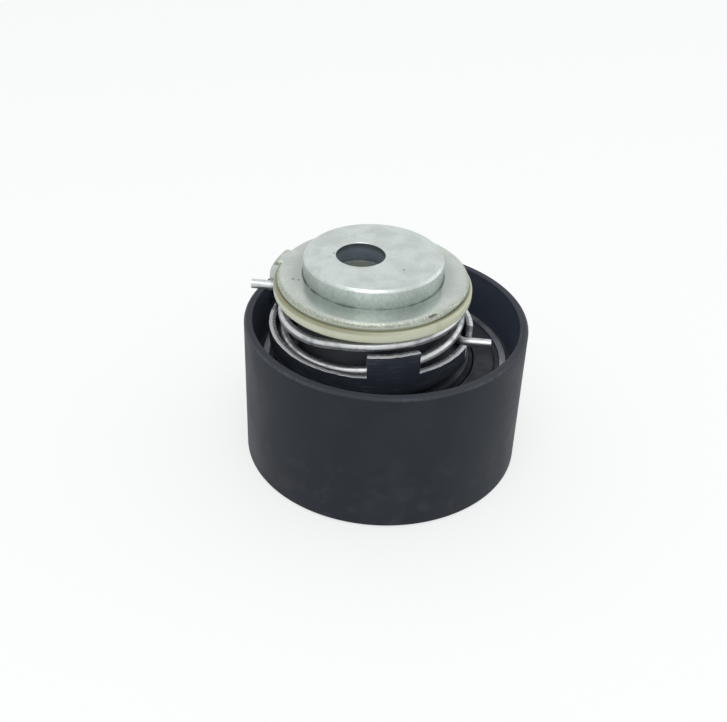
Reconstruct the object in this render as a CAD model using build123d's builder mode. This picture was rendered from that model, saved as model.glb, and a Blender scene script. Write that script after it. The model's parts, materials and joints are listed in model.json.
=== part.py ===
# Timing belt tensioner: a steel pulley on a ball bearing, carried by a sprung eccentric arm.
# All sizes are in millimetres. +Z points up, away from the resting rim of the pulley.
# The origin is on the pulley's axis, in the plane of the rim that the tensioner stands on.
# Angles are in degrees about +Z, counted from +X.
import os
from math import asin, cos, degrees, radians, sin

from build123d import *

os.makedirs("parts", exist_ok=True)

# Ball bearing, 30 x 55 x 13
bearing_bore = 30.0
bearing_outer_diameter = 55.0
bearing_width = 13.0
bearing_corner = 1.4
ball_count = 11
ball_share = 0.1428
ball_clearance = 0.05
land_share = 0.172
inner_edge_chamfer = 0.2

# Ball cage
cage_sheet = 0.6
cage_land_share = 0.244
pocket_clearance = 0.1
rivet_diameter = 1.2
rivet_head_diameter = 2.0
rivet_head_height = 0.4

# Bearing seals
seal_seat_step = 1.4
seal_seat_width = 1.6
seal_recess = 0.3
seal_thickness = 0.9
seal_bead_width = 0.9
seal_bead_drop = 0.5
seal_lip_gap = 0.2
seal_lip_width = 0.5
seal_lip_rise = 0.15

# Pulley
pulley_width = 32.5
rim_wall = 1.8
rim_relief = 0.7
rim_chamfer = 0.5
rim_inner_chamfer = 0.2
bearing_lip_width = 1.2
bearing_lip_height = 1.1
seat_overlap = 0.6

# Setting eccentric: a sleeve round the bolt, with a flange
bolt_hole_diameter = 10.1
sleeve_bore_diameter = 10.4
bolt_offset = 2.7
bolt_angle = 177.5
sleeve_wall = 1.1
flange_inset = 2.9
flange_diameter = 32.0
flange_thickness = 3.5
flange_chamfer = 0.5
hex_across_flats = 6.0

# Thrust washer on the flange
thrust_washer_step = 2.0
thrust_washer_thickness = 0.8

# Working eccentric and its bush
bush_wall = 1.0
running_clearance = 0.05
bush_end_recess = 0.3
arm_wall = 1.8
arm_land = 3.0
shoulder_step = 1.1
shoulder_height = 0.6
cup_seat_width = 2.0
cup_seat_height = 1.45
drum_diameter = 30.8
drum_height = 13.05
arm_chamfer = 0.3

# Retaining ring under the bearing
retaining_ring_thickness = 1.5
retaining_ring_width = 3.4
retaining_groove_depth = 0.7
retaining_ring_gap = 8.0
retaining_ring_hole = 2.0
retaining_ear_diameter = 5.0

# Torsion spring
wire_diameter = 2.0
coil_play = 2.0
coil_flare = 0.55
lower_leg_angle = -3.6
upper_leg_angle = 174.9
leg_overhang = 4.05
leg_bend = 2.0
leg_gap = 0.09
spring_seat_gap = 0.05
coil_rise_shares = [
    (240.0, 0.225),
    (300.0, 0.445),
    (360.0, 0.56),
    (540.0, 0.62),
    (590.0, 0.745),
    (615.0, 0.895),
    (650.0, 0.968),
]
coil_arcs = 20

# Spring cup
cup_sheet = 1.4
cup_play = 0.8
cup_height = 6.0
cup_bend = 2.6
tab_start = 269.6
tab_span = 29.1
tab_clearance = 0.3
tab_corner = 0.6
notch_span = 21.7
seat_clearance = 0.02

# Friction washer
washer_overhang = 0.65
washer_clearance = 0.3
friction_washer_thickness = 2.6
friction_washer_edge = 0.8
axial_play = 0.1

# Base plate and its lug
plate_step = 0.75
plate_thickness = 1.6
plate_edge = 0.9
lug_clearance = 0.2
lug_span = 16.4
lug_gap = 0.55
lug_inner_bend = 1.0

# Mounting disc
disc_diameter = 28.9
disc_thickness = 4.15
disc_edge = 0.6
bolt_hole_chamfer = 0.25

# Radii of the bearing, worked out from its three main sizes
bearing_radius = bearing_outer_diameter / 2
bearing_bore_radius = bearing_bore / 2
ball_pitch_radius = (bearing_radius + bearing_bore_radius) / 2
land_gap = land_share * (bearing_outer_diameter - bearing_bore)
outer_land_radius = ball_pitch_radius + land_gap / 2
inner_land_radius = ball_pitch_radius - land_gap / 2
seal_seat_radius = outer_land_radius + seal_seat_step
ball_radius = ball_share * (bearing_outer_diameter - bearing_bore)
raceway_radius = ball_radius + ball_clearance
pocket_radius = ball_radius + pocket_clearance
dome_radius = pocket_radius + cage_sheet

# Radii of the pulley
rim_bore_radius = bearing_radius + rim_relief
pulley_radius = rim_bore_radius + rim_wall

# Radii about the arm's axis, and the arm's offset from the pulley's axis
bolt_hole_radius = bolt_hole_diameter / 2
sleeve_bore_radius = sleeve_bore_diameter / 2
sleeve_radius = sleeve_bore_radius + bolt_offset + sleeve_wall
bush_inner_radius = sleeve_radius + running_clearance
bush_outer_radius = bush_inner_radius + bush_wall
arm_offset = bearing_bore_radius - bush_outer_radius - arm_wall
drum_radius = drum_diameter / 2
wire_radius = wire_diameter / 2
lower_coil_radius = drum_radius + coil_play + wire_radius
upper_coil_radius = lower_coil_radius + coil_flare
cup_inner_radius = lower_coil_radius + wire_radius + cup_play
cup_radius = cup_inner_radius + cup_sheet
leg_reach = cup_radius + leg_overhang
friction_washer_radius = upper_coil_radius + wire_radius + washer_overhang
plate_radius = friction_washer_radius - plate_step
lug_inner_radius = friction_washer_radius + lug_clearance
lug_reach = lug_inner_radius + plate_thickness
disc_radius = disc_diameter / 2
flange_radius = flange_diameter / 2

# Heights, from the resting rim upwards
flange_bottom = flange_inset
flange_top = flange_bottom + flange_thickness
arm_bottom = flange_top + thrust_washer_thickness + axial_play
bearing_bottom = arm_bottom + arm_land
bearing_top = bearing_bottom + bearing_width
bearing_middle = bearing_bottom + bearing_width / 2
cup_underside = bearing_top + shoulder_height + cup_seat_height
cup_floor = cup_underside + cup_sheet
cup_top = cup_underside + cup_height
drum_top = cup_underside + drum_height
washer_bottom = drum_top + axial_play
washer_top = washer_bottom + friction_washer_thickness
plate_top = washer_top + plate_thickness
disc_top = plate_top + disc_thickness
spring_start = cup_floor + spring_seat_gap + wire_radius
spring_end = washer_bottom - spring_seat_gap - wire_radius
tab_top = spring_end - wire_radius - tab_clearance
lug_bottom = cup_top + lug_gap

# Angles of the notch and the lug, set by the spring's legs that lie against them
notch_end = lower_leg_angle + degrees((wire_radius + leg_gap) / cup_inner_radius)
notch_start = notch_end - notch_span
lug_end = upper_leg_angle - degrees((wire_radius + leg_gap) / lug_inner_radius)
lug_start = lug_end - lug_span

# Planes and axes about which the pieces are turned
arm_axis = Axis((-arm_offset, 0, 0), (0, 0, 1))
arm_section = Plane(origin=(-arm_offset, 0, 0), x_dir=(1, 0, 0), z_dir=(0, -1, 0))
bolt_x = -arm_offset + bolt_offset * cos(radians(bolt_angle))
bolt_y = bolt_offset * sin(radians(bolt_angle))


def arm_plane(height):
    """Level plane at a height, with its origin on the arm's axis."""
    return Plane(origin=(-arm_offset, 0, height))


def bolt_plane(height):
    """Level plane at a height, with its origin on the bolt's axis."""
    return Plane(origin=(bolt_x, bolt_y, height))


def ring_sector(inner_radius, outer_radius, start_angle, span):
    """Face between two radii over a span of angle, about the sketch's origin."""
    with BuildSketch(mode=Mode.PRIVATE) as sector:
        with BuildLine():
            outside = CenterArc((0, 0), outer_radius, start_angle, span)
            inside = CenterArc((0, 0), inner_radius, start_angle, span)
            Line(outside @ 0, inside @ 0)
            Line(outside @ 1, inside @ 1)
        make_face()
    return sector.sketch


# Pulley: a drum with a bearing seat and a lip below the bearing
lip_radius = bearing_radius - bearing_lip_height
lip_bottom = bearing_bottom - bearing_lip_width
seat_top = bearing_top + seat_overlap
with BuildPart() as pulley:
    with BuildSketch(Plane.XZ):
        with BuildLine():
            Polyline(
                (rim_bore_radius + rim_inner_chamfer, 0),
                (pulley_radius - rim_chamfer, 0),
                (pulley_radius, rim_chamfer),
                (pulley_radius, pulley_width - rim_chamfer),
                (pulley_radius - rim_chamfer, pulley_width),
                (rim_bore_radius + rim_inner_chamfer, pulley_width),
                (rim_bore_radius, pulley_width - rim_inner_chamfer),
                (rim_bore_radius, seat_top),
                (bearing_radius, seat_top),
                (bearing_radius, bearing_bottom),
                (lip_radius, bearing_bottom),
                (lip_radius, lip_bottom),
                (rim_bore_radius, lip_bottom),
                (rim_bore_radius, rim_inner_chamfer),
                close=True,
            )
        make_face()
    revolve(axis=Axis.Z)
pulley.part.label = "pulley"
export_step(pulley.part, "parts/pulley.step")

# Bearing outer ring: raceway in the bore, and a step at each end for a seal
with BuildPart() as bearing_outer_ring:
    with BuildSketch(Plane.XZ):
        with Locations(((outer_land_radius + bearing_radius) / 2, bearing_middle)):
            Rectangle(bearing_radius - outer_land_radius, bearing_width)
        chamfer(vertices().sort_by(Axis.X)[-2:], bearing_corner)
        for end in (bearing_bottom + seal_seat_width / 2, bearing_top - seal_seat_width / 2):
            with Locations(((outer_land_radius + seal_seat_radius) / 2, end)):
                Rectangle(seal_seat_radius - outer_land_radius, seal_seat_width, mode=Mode.SUBTRACT)
        with Locations((ball_pitch_radius, bearing_middle)):
            Circle(raceway_radius, mode=Mode.SUBTRACT)
    revolve(axis=Axis.Z)
bearing_outer_ring.part.label = "bearing_outer_ring"
export_step(bearing_outer_ring.part, "parts/bearing_outer_ring.step")

# Bearing inner ring: raceway on the outside
with BuildPart() as bearing_inner_ring:
    with BuildSketch(Plane.XZ):
        with Locations(((inner_land_radius + bearing_bore_radius) / 2, bearing_middle)):
            Rectangle(inner_land_radius - bearing_bore_radius, bearing_width)
        chamfer(vertices().sort_by(Axis.X)[-2:], inner_edge_chamfer)
        with Locations((ball_pitch_radius, bearing_middle)):
            Circle(raceway_radius, mode=Mode.SUBTRACT)
    revolve(axis=Axis.Z)
bearing_inner_ring.part.label = "bearing_inner_ring"
export_step(bearing_inner_ring.part, "parts/bearing_inner_ring.step")

# Bearing balls, one in each pocket of the cage
for number in range(ball_count):
    ball_angle = radians(number * 360 / ball_count)
    ball_place = (ball_pitch_radius * cos(ball_angle), ball_pitch_radius * sin(ball_angle), bearing_middle)
    with BuildPart() as bearing_ball:
        with Locations(ball_place):
            Sphere(ball_radius)
    bearing_ball.part.label = f"bearing_ball_{number + 1:02d}"
    export_step(bearing_ball.part, f"parts/bearing_ball_{number + 1:02d}.step")

# Upper half of the ball cage: a flat band that domes over every ball
cage_outer_radius = outer_land_radius - cage_land_share * land_gap
cage_inner_radius = inner_land_radius + cage_land_share * land_gap
half_pocket = 180 / ball_count
cage_plane = Plane.XY.offset(bearing_middle)
with BuildPart() as cage_upper:
    with BuildSketch(cage_plane):
        Circle(cage_outer_radius)
    extrude(amount=cage_sheet)
    with Locations(cage_plane):
        with PolarLocations(ball_pitch_radius, ball_count):
            Sphere(dome_radius)
    with BuildSketch(cage_plane):
        Circle(cage_outer_radius)
        Circle(cage_inner_radius, mode=Mode.SUBTRACT)
    extrude(amount=dome_radius, mode=Mode.INTERSECT)
    with Locations(cage_plane):
        with PolarLocations(ball_pitch_radius, ball_count):
            Sphere(pocket_radius, mode=Mode.SUBTRACT)
    with BuildSketch(cage_plane):
        with PolarLocations(ball_pitch_radius, ball_count, start_angle=half_pocket):
            Circle(rivet_diameter / 2)
    extrude(amount=cage_sheet, mode=Mode.SUBTRACT)
cage_upper.part.label = "cage_upper"
export_step(cage_upper.part, "parts/cage_upper.step")

# Lower half of the ball cage, the upper half mirrored
with BuildPart() as cage_lower:
    mirror(cage_upper.part, about=cage_plane)
cage_lower.part.label = "cage_lower"
export_step(cage_lower.part, "parts/cage_lower.step")

# Cage rivets, one between each two balls, with a head on both sides
with BuildPart() as cage_rivets:
    with Locations(cage_plane):
        with PolarLocations(ball_pitch_radius, ball_count, start_angle=half_pocket):
            Cylinder(rivet_diameter / 2, 2 * cage_sheet)
            for side in (1, -1):
                with Locations((0, 0, side * (cage_sheet + rivet_head_height / 2))):
                    Cylinder(rivet_head_diameter / 2, rivet_head_height)
cage_rivets.part.label = "cage_rivets"
export_step(cage_rivets.part, "parts/cage_rivets.step")

# Upper bearing seal: a bead in the outer ring's step, a face, and a lip at the inner ring
seal_top = bearing_top - seal_recess
seal_bottom = seal_top - seal_thickness
bead_inner_radius = seal_seat_radius - seal_bead_width
lip_inner_radius = inner_land_radius + seal_lip_gap
with BuildPart() as seal_upper:
    with BuildSketch(Plane.XZ):
        with BuildLine():
            Polyline(
                (lip_inner_radius, seal_bottom),
                (outer_land_radius, seal_bottom),
                (outer_land_radius, bearing_top - seal_seat_width),
                (seal_seat_radius, bearing_top - seal_seat_width),
                (seal_seat_radius, seal_top - seal_bead_drop),
                (bead_inner_radius, seal_top - seal_bead_drop),
                (bead_inner_radius - seal_bead_drop, seal_top),
                (lip_inner_radius + seal_lip_width, seal_top),
                (lip_inner_radius + seal_lip_width, seal_top + seal_lip_rise),
                (lip_inner_radius, seal_top + seal_lip_rise),
                close=True,
            )
        make_face()
    revolve(axis=Axis.Z)
seal_upper.part.label = "seal_upper"
export_step(seal_upper.part, "parts/seal_upper.step")

# Lower bearing seal, the upper seal mirrored
with BuildPart() as seal_lower:
    mirror(seal_upper.part, about=cage_plane)
seal_lower.part.label = "seal_lower"
export_step(seal_lower.part, "parts/seal_lower.step")

# Working eccentric: bearing seat, shoulder and cup seat, and the drum inside the spring
groove_top = bearing_bottom
groove_bottom = groove_top - retaining_ring_thickness
groove_radius = bearing_bore_radius - retaining_groove_depth
with BuildPart() as working_eccentric:
    with BuildSketch(Plane.XY.offset(arm_bottom)):
        Circle(bearing_bore_radius)
    extrude(amount=bearing_top - arm_bottom)
    chamfer(faces().sort_by(Axis.Z)[0].edges(), arm_chamfer)
    with BuildSketch(Plane.XY.offset(bearing_top)):
        Circle(inner_land_radius - shoulder_step)
    extrude(amount=shoulder_height)
    with BuildSketch(arm_plane(bearing_top + shoulder_height)):
        Circle(drum_radius + cup_seat_width)
    extrude(amount=cup_seat_height)
    with BuildSketch(arm_plane(cup_underside)):
        Circle(drum_radius)
    extrude(amount=drum_top - cup_underside)
    chamfer(faces().sort_by(Axis.Z)[-1].edges(), arm_chamfer)
    with BuildSketch(Plane.XY.offset(groove_bottom)):
        Circle(bearing_bore_radius)
        Circle(groove_radius, mode=Mode.SUBTRACT)
    extrude(amount=retaining_ring_thickness, mode=Mode.SUBTRACT)
    with BuildSketch(arm_plane(arm_bottom)):
        Circle(bush_outer_radius)
    extrude(amount=drum_top - arm_bottom, mode=Mode.SUBTRACT)
working_eccentric.part.label = "working_eccentric"
export_step(working_eccentric.part, "parts/working_eccentric.step")

# Plain bush, pressed in the working eccentric
with BuildPart() as plain_bush:
    with BuildSketch(arm_plane(arm_bottom + bush_end_recess)):
        Circle(bush_outer_radius)
        Circle(bush_inner_radius, mode=Mode.SUBTRACT)
    extrude(amount=drum_top - arm_bottom - 2 * bush_end_recess)
plain_bush.part.label = "plain_bush"
export_step(plain_bush.part, "parts/plain_bush.step")

# Retaining ring: an open ring in the groove, with an ear and a plier hole at each end
ring_outer_radius = groove_radius + retaining_ring_width
ear_radius = groove_radius + retaining_ear_diameter / 2
ear_angle = degrees((retaining_ring_gap + retaining_ear_diameter) / 2 / ear_radius)
gap_angle = degrees(retaining_ring_gap / 2 / groove_radius)
with BuildPart() as retaining_ring:
    with BuildSketch(Plane.XY.offset(groove_bottom)):
        add(ring_sector(groove_radius, ring_outer_radius, gap_angle, 360 - 2 * gap_angle))
        with PolarLocations(ear_radius, 2, start_angle=-ear_angle, angular_range=4 * ear_angle):
            Circle(retaining_ear_diameter / 2)
        with PolarLocations(ear_radius, 2, start_angle=-ear_angle, angular_range=4 * ear_angle):
            Circle(retaining_ring_hole / 2, mode=Mode.SUBTRACT)
    extrude(amount=retaining_ring_thickness)
retaining_ring.part.label = "retaining_ring"
export_step(retaining_ring.part, "parts/retaining_ring.step")

# Spring cup: pressed sheet with a bent wall, an upright tab and a notch for the spring's leg
inner_bend = cup_bend - cup_sheet
cup_hole_radius = drum_radius + seat_clearance
with BuildPart() as spring_cup:
    with BuildSketch(arm_section):
        with BuildLine():
            Polyline(
                (cup_hole_radius, cup_underside),
                (cup_radius, cup_underside),
                (cup_radius, cup_top),
                (cup_inner_radius, cup_top),
                (cup_inner_radius, cup_floor),
                (cup_hole_radius, cup_floor),
                close=True,
            )
        make_face()
        fillet(vertices().group_by(Axis.X)[1].sort_by(Axis.Y)[0], inner_bend)
        fillet(vertices().group_by(Axis.Y)[0].sort_by(Axis.X)[-1], cup_bend)
    revolve(axis=arm_axis)
    with BuildSketch(arm_plane(cup_top)):
        add(ring_sector(cup_inner_radius, cup_radius, tab_start, tab_span))
    extrude(amount=tab_top - cup_top)
    fillet(faces().sort_by(Axis.Z)[-1].edges().filter_by(GeomType.LINE), tab_corner)
    with BuildSketch(arm_plane(cup_floor)):
        add(ring_sector(cup_inner_radius - cup_sheet, cup_radius + cup_sheet, notch_start, notch_span))
    extrude(amount=cup_height, mode=Mode.SUBTRACT)
spring_cup.part.label = "spring_cup"
export_step(spring_cup.part, "parts/spring_cup.step")

# Torsion spring: the path of its wire, from the lower leg's tip up to the upper leg's tip


def coil_height(angle, knots):
    """Height of the wire at an angle, on a smooth curve through the knots that never dips."""
    slopes = [(high[1] - low[1]) / (high[0] - low[0]) for low, high in zip(knots, knots[1:])]
    tangents = [0.0]
    tangents += [2 * a * b / (a + b) for a, b in zip(slopes, slopes[1:])]
    tangents += [0.0]
    for number, (low, high) in enumerate(zip(knots, knots[1:])):
        if angle <= high[0] or high is knots[-1]:
            length = high[0] - low[0]
            t = (angle - low[0]) / length
            rise = (3 * t**2 - 2 * t**3) * (high[1] - low[1])
            leave = (t**3 - 2 * t**2 + t) * length * tangents[number]
            arrive = (t**3 - t**2) * length * tangents[number + 1]
            return low[1] + rise + leave + arrive


def spring_point(radius, angle, height):
    """Point at a radius, angle and height about the arm's axis."""
    return Vector(
        -arm_offset + radius * cos(radians(angle)),
        radius * sin(radians(angle)),
        height,
    )


def leg_corner(coil_radius, leg_angle, side, height):
    """Points of the bend between a leg and the coil: at the leg, half way and at the coil."""
    centre_radius = coil_radius + leg_bend
    lean = side * degrees(asin(leg_bend / centre_radius))
    centre = spring_point(centre_radius, leg_angle + lean, height)
    at_leg = spring_point(centre_radius * cos(radians(lean)), leg_angle, height)
    at_coil = spring_point(coil_radius, leg_angle + lean, height)
    middle = centre + ((at_leg + at_coil) * 0.5 - centre).normalized() * leg_bend
    return at_leg, middle, at_coil, leg_angle + lean


lower_bend = leg_corner(lower_coil_radius, lower_leg_angle, 1, spring_start)
upper_bend = leg_corner(upper_coil_radius, upper_leg_angle + 720, -1, spring_end)
coil_first = lower_bend[3]
coil_last = upper_bend[3]
spring_rise = spring_end - spring_start
coil_knots = [(coil_first, spring_start)]
coil_knots += [(angle, spring_start + share * spring_rise) for angle, share in coil_rise_shares]
coil_knots += [(coil_last, spring_end)]


def coil_point(share):
    """Point on the coils, at a share of the way along them."""
    angle = coil_first + share * (coil_last - coil_first)
    radius = lower_coil_radius + share * coil_flare
    return spring_point(radius, angle, coil_height(angle, coil_knots))


with BuildPart() as torsion_spring:
    with BuildLine() as spring_path:
        Line(spring_point(leg_reach, lower_leg_angle, spring_start), lower_bend[0])
        ThreePointArc(*lower_bend[:3])
        for number in range(coil_arcs):
            ThreePointArc(*[coil_point((number + part) / coil_arcs) for part in (0, 0.5, 1)])
        ThreePointArc(upper_bend[2], upper_bend[1], upper_bend[0])
        Line(upper_bend[0], spring_point(leg_reach, upper_leg_angle, spring_end))
    with BuildSketch(Plane(origin=spring_path.line @ 0, z_dir=spring_path.line % 0)):
        Circle(wire_radius)
    sweep(path=spring_path.wires()[0])
torsion_spring.part.label = "torsion_spring"
export_step(torsion_spring.part, "parts/torsion_spring.step")

# Friction washer between the arm's drum and the base plate
with BuildPart() as friction_washer:
    with BuildSketch(arm_plane(washer_bottom)):
        Circle(friction_washer_radius)
        Circle(sleeve_radius + washer_clearance, mode=Mode.SUBTRACT)
    extrude(amount=friction_washer_thickness)
    fillet(edges().filter_by(GeomType.CIRCLE).group_by(SortBy.RADIUS)[-1], friction_washer_edge)
friction_washer.part.label = "friction_washer"
export_step(friction_washer.part, "parts/friction_washer.step")

# Base plate: a round plate with a rolled edge, and a lug bent down to hold the spring's upper leg
lug_outer_bend = lug_inner_bend + plate_thickness
lug_section = Plane(
    origin=(-arm_offset, 0, 0),
    x_dir=(cos(radians(lug_start)), sin(radians(lug_start)), 0),
    z_dir=(sin(radians(lug_start)), -cos(radians(lug_start)), 0),
)
with BuildPart() as base_plate:
    with BuildSketch(arm_plane(washer_top)):
        Circle(plate_radius)
    extrude(amount=plate_thickness)
    fillet(faces().sort_by(Axis.Z)[-1].edges(), plate_edge)
    with BuildSketch(lug_section) as lug_profile:
        with BuildLine():
            Polyline(
                (sleeve_radius + plate_edge, washer_top),
                (lug_inner_radius, washer_top),
                (lug_inner_radius, lug_bottom),
                (lug_reach, lug_bottom),
                (lug_reach, plate_top),
                (sleeve_radius + plate_edge, plate_top),
                close=True,
            )
        make_face()
        fillet(vertices().sort_by(Axis.Y)[-2:].sort_by(Axis.X)[-1], lug_outer_bend)
    revolve(axis=arm_axis, revolution_arc=lug_span)
    with BuildSketch(arm_plane(washer_top)):
        Circle(bush_inner_radius)
    extrude(amount=plate_thickness, mode=Mode.SUBTRACT)
base_plate.part.label = "base_plate"
export_step(base_plate.part, "parts/base_plate.step")

# Mounting disc: the thick disc that bears on the engine, with the off-centre bolt hole
with BuildPart() as mounting_disc:
    with BuildSketch(arm_plane(plate_top)):
        Circle(disc_radius)
    extrude(amount=disc_thickness)
    fillet(faces().sort_by(Axis.Z)[-1].edges(), disc_edge)
    with BuildSketch(bolt_plane(plate_top)):
        Circle(bolt_hole_radius)
    extrude(amount=disc_thickness, mode=Mode.SUBTRACT)
    chamfer(faces().sort_by(Axis.Z)[-1].inner_wires().edges(), bolt_hole_chamfer)
mounting_disc.part.label = "mounting_disc"
export_step(mounting_disc.part, "parts/mounting_disc.step")

# Setting eccentric: a sleeve with an off-centre bore, and a flange with a hexagon for the key
with BuildPart() as setting_eccentric:
    with BuildSketch(arm_plane(flange_bottom)):
        Circle(flange_radius)
    extrude(amount=flange_thickness)
    chamfer(faces().sort_by(Axis.Z)[0].edges(), flange_chamfer)
    with BuildSketch(arm_plane(flange_top)):
        Circle(sleeve_radius)
    extrude(amount=plate_top - flange_top)
    with BuildSketch(bolt_plane(flange_bottom)):
        Circle(sleeve_bore_radius)
    extrude(amount=plate_top - flange_bottom, mode=Mode.SUBTRACT)
    hex_offset = (flange_radius + sleeve_bore_radius - bolt_offset) / 2
    hex_angle = radians(bolt_angle + 180)
    hex_place = (-arm_offset + hex_offset * cos(hex_angle), hex_offset * sin(hex_angle), flange_bottom)
    with BuildSketch(Plane(origin=hex_place)):
        RegularPolygon(hex_across_flats / 2, 6, major_radius=False)
    extrude(amount=flange_thickness, mode=Mode.SUBTRACT)
setting_eccentric.part.label = "setting_eccentric"
export_step(setting_eccentric.part, "parts/setting_eccentric.step")

# Thrust washer between the arm and the setting eccentric's flange
with BuildPart() as thrust_washer:
    with BuildSketch(arm_plane(flange_top)):
        Circle(flange_radius - thrust_washer_step)
        Circle(sleeve_radius + washer_clearance, mode=Mode.SUBTRACT)
    extrude(amount=thrust_washer_thickness)
thrust_washer.part.label = "thrust_washer"
export_step(thrust_washer.part, "parts/thrust_washer.step")
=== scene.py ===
"""Timing belt tensioner: meshes, finishes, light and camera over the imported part.

Lengths are in millimetres and angles in degrees, as in the part's source. They become metres
where a mesh, a lamp or the camera is made. Every piece keeps the place that the part gives it.
"""

import json
import logging
import math
from collections.abc import Sequence
from dataclasses import dataclass
from enum import Enum

import bmesh
import bpy
from mathutils import Matrix, Vector, noise


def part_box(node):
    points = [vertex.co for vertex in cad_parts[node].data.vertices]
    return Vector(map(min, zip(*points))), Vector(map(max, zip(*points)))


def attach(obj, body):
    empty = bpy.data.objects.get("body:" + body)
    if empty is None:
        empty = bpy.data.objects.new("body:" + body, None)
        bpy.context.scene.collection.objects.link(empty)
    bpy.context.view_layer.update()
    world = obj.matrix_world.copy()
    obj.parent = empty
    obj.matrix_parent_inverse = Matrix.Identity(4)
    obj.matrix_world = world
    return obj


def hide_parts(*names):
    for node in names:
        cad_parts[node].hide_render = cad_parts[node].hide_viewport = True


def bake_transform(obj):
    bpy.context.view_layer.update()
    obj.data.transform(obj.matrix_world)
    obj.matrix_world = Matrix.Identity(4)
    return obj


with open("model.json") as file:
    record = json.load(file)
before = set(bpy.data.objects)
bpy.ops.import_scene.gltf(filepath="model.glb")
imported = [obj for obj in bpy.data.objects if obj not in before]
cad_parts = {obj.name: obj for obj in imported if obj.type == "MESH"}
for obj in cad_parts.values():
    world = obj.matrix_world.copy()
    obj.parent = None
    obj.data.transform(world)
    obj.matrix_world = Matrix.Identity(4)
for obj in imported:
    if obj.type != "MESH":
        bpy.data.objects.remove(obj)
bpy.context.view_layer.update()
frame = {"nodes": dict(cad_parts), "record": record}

MM = 0.001  # metres in a millimetre
MIX_UNDER, MIX_OVER, MIX_RESULT = 6, 7, 2  # the colour sockets of a Mix node
MERGE_DISTANCE = 0.002  # points nearer to each other than this are one
SAME_PLACE = 0.01  # how far a point may be from the place where it is looked for
RIM_PLAY = 0.02  # the same for an edge of a rim
CURVE_ANGLE = 35.0  # faces that meet at less than this are one curved face
EDGE_ANGLE = 50.0  # the same on a piece whose edges are softened or chamfered
RIM_ANGLE = 40.0  # a rim's edge is at least this sharp before it is rounded
WALL_SHARE = 0.97  # faces further out than this share of the radius are the outermost wall's
UPRIGHT = 0.1  # a face is upright where its normal rises by less than this
ROUND_STEPS = 5  # number of runs in a rounded edge
FULL_TURN = (0.0, 360.0)

log = logging.getLogger("tensioner")

Axis = tuple[float, float]
Span = tuple[float, float]
Point = tuple[float, float, float]
Colour = tuple[float, float, float, float]


class Body(str, Enum):
    """Bodies of the part that a piece can move with."""

    BASE = "base"
    ARM = "arm"
    DRUM = "drum"


def linear(code: str) -> Colour:
    """Turn an sRGB hex colour to the linear values that a shader takes.

    Args:
        code: colour as #RRGGBB.

    Returns:
        Linear red, green, blue and an alpha of 1.
    """
    parts = [int(code[place:place + 2], 16) / 255 for place in (1, 3, 5)]
    red, green, blue = [c / 12.92 if c <= 0.04045 else ((c + 0.055) / 1.055) ** 2.4 for c in parts]
    return red, green, blue, 1.0


def add_node(
    tree: bpy.types.NodeTree, kind: str, inputs: dict | None = None, **settings: object
) -> bpy.types.Node:
    """Add a shader node, set its properties, and fill or link its inputs.

    Args:
        tree: node tree that gets the node.
        kind: type of the node, without the prefix that all shader nodes share.
        inputs: a value or an output socket for each input, by its name or number.
        settings: the node's properties.

    Returns:
        The new node.
    """
    node = tree.nodes.new("ShaderNode" + kind)
    for name, value in settings.items():
        setattr(node, name, value)
    for name, value in (inputs or {}).items():
        if isinstance(value, bpy.types.NodeSocket):
            tree.links.new(value, node.inputs[name])
        else:
            node.inputs[name].default_value = value
    return node


def add_seen(tree: bpy.types.NodeTree) -> bpy.types.NodeSocket:
    """Tell what the camera and reflections see from what only lights the object.

    Args:
        tree: node tree of the floor or the sky.

    Returns:
        Socket that is 1 where it is seen.
    """
    rays = add_node(tree, "LightPath")
    seen = {0: rays.outputs["Is Camera Ray"], 1: rays.outputs["Is Glossy Ray"]}
    return add_node(tree, "Math", seen, operation="MAXIMUM").outputs[0]


def add_object(name: str, data: bpy.types.ID) -> bpy.types.Object:
    """Make an object and link it to the scene.

    Args:
        name: name of the object.
        data: its mesh, curve, light or camera.

    Returns:
        The object.
    """
    thing = bpy.data.objects.new(name, data)
    bpy.context.scene.collection.objects.link(thing)
    return thing


@dataclass(frozen=True)
class Fade:
    """How a mask follows a value, smoothly from nothing to its top level.

    On a cloud pattern, limits of 0.3 and 0.7 let most of it through, and 0.5 and 0.7 its peaks.

    Attributes:
        value: socket with the value.
        low: value where the mask covers nothing. It may lie above the other limit.
        high: value where the mask reaches its top.
        top: highest level of the mask.
    """

    value: bpy.types.NodeSocket
    low: float
    high: float
    top: float = 1.0


@dataclass(frozen=True)
class Blot:
    """A dark spot or a stain on a surface.

    Attributes:
        place: middle of the blot.
        radius: half its size across.
        cover: how much of the clean surface it hides.
    """

    place: Point
    radius: float
    cover: float = 0.8


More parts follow.
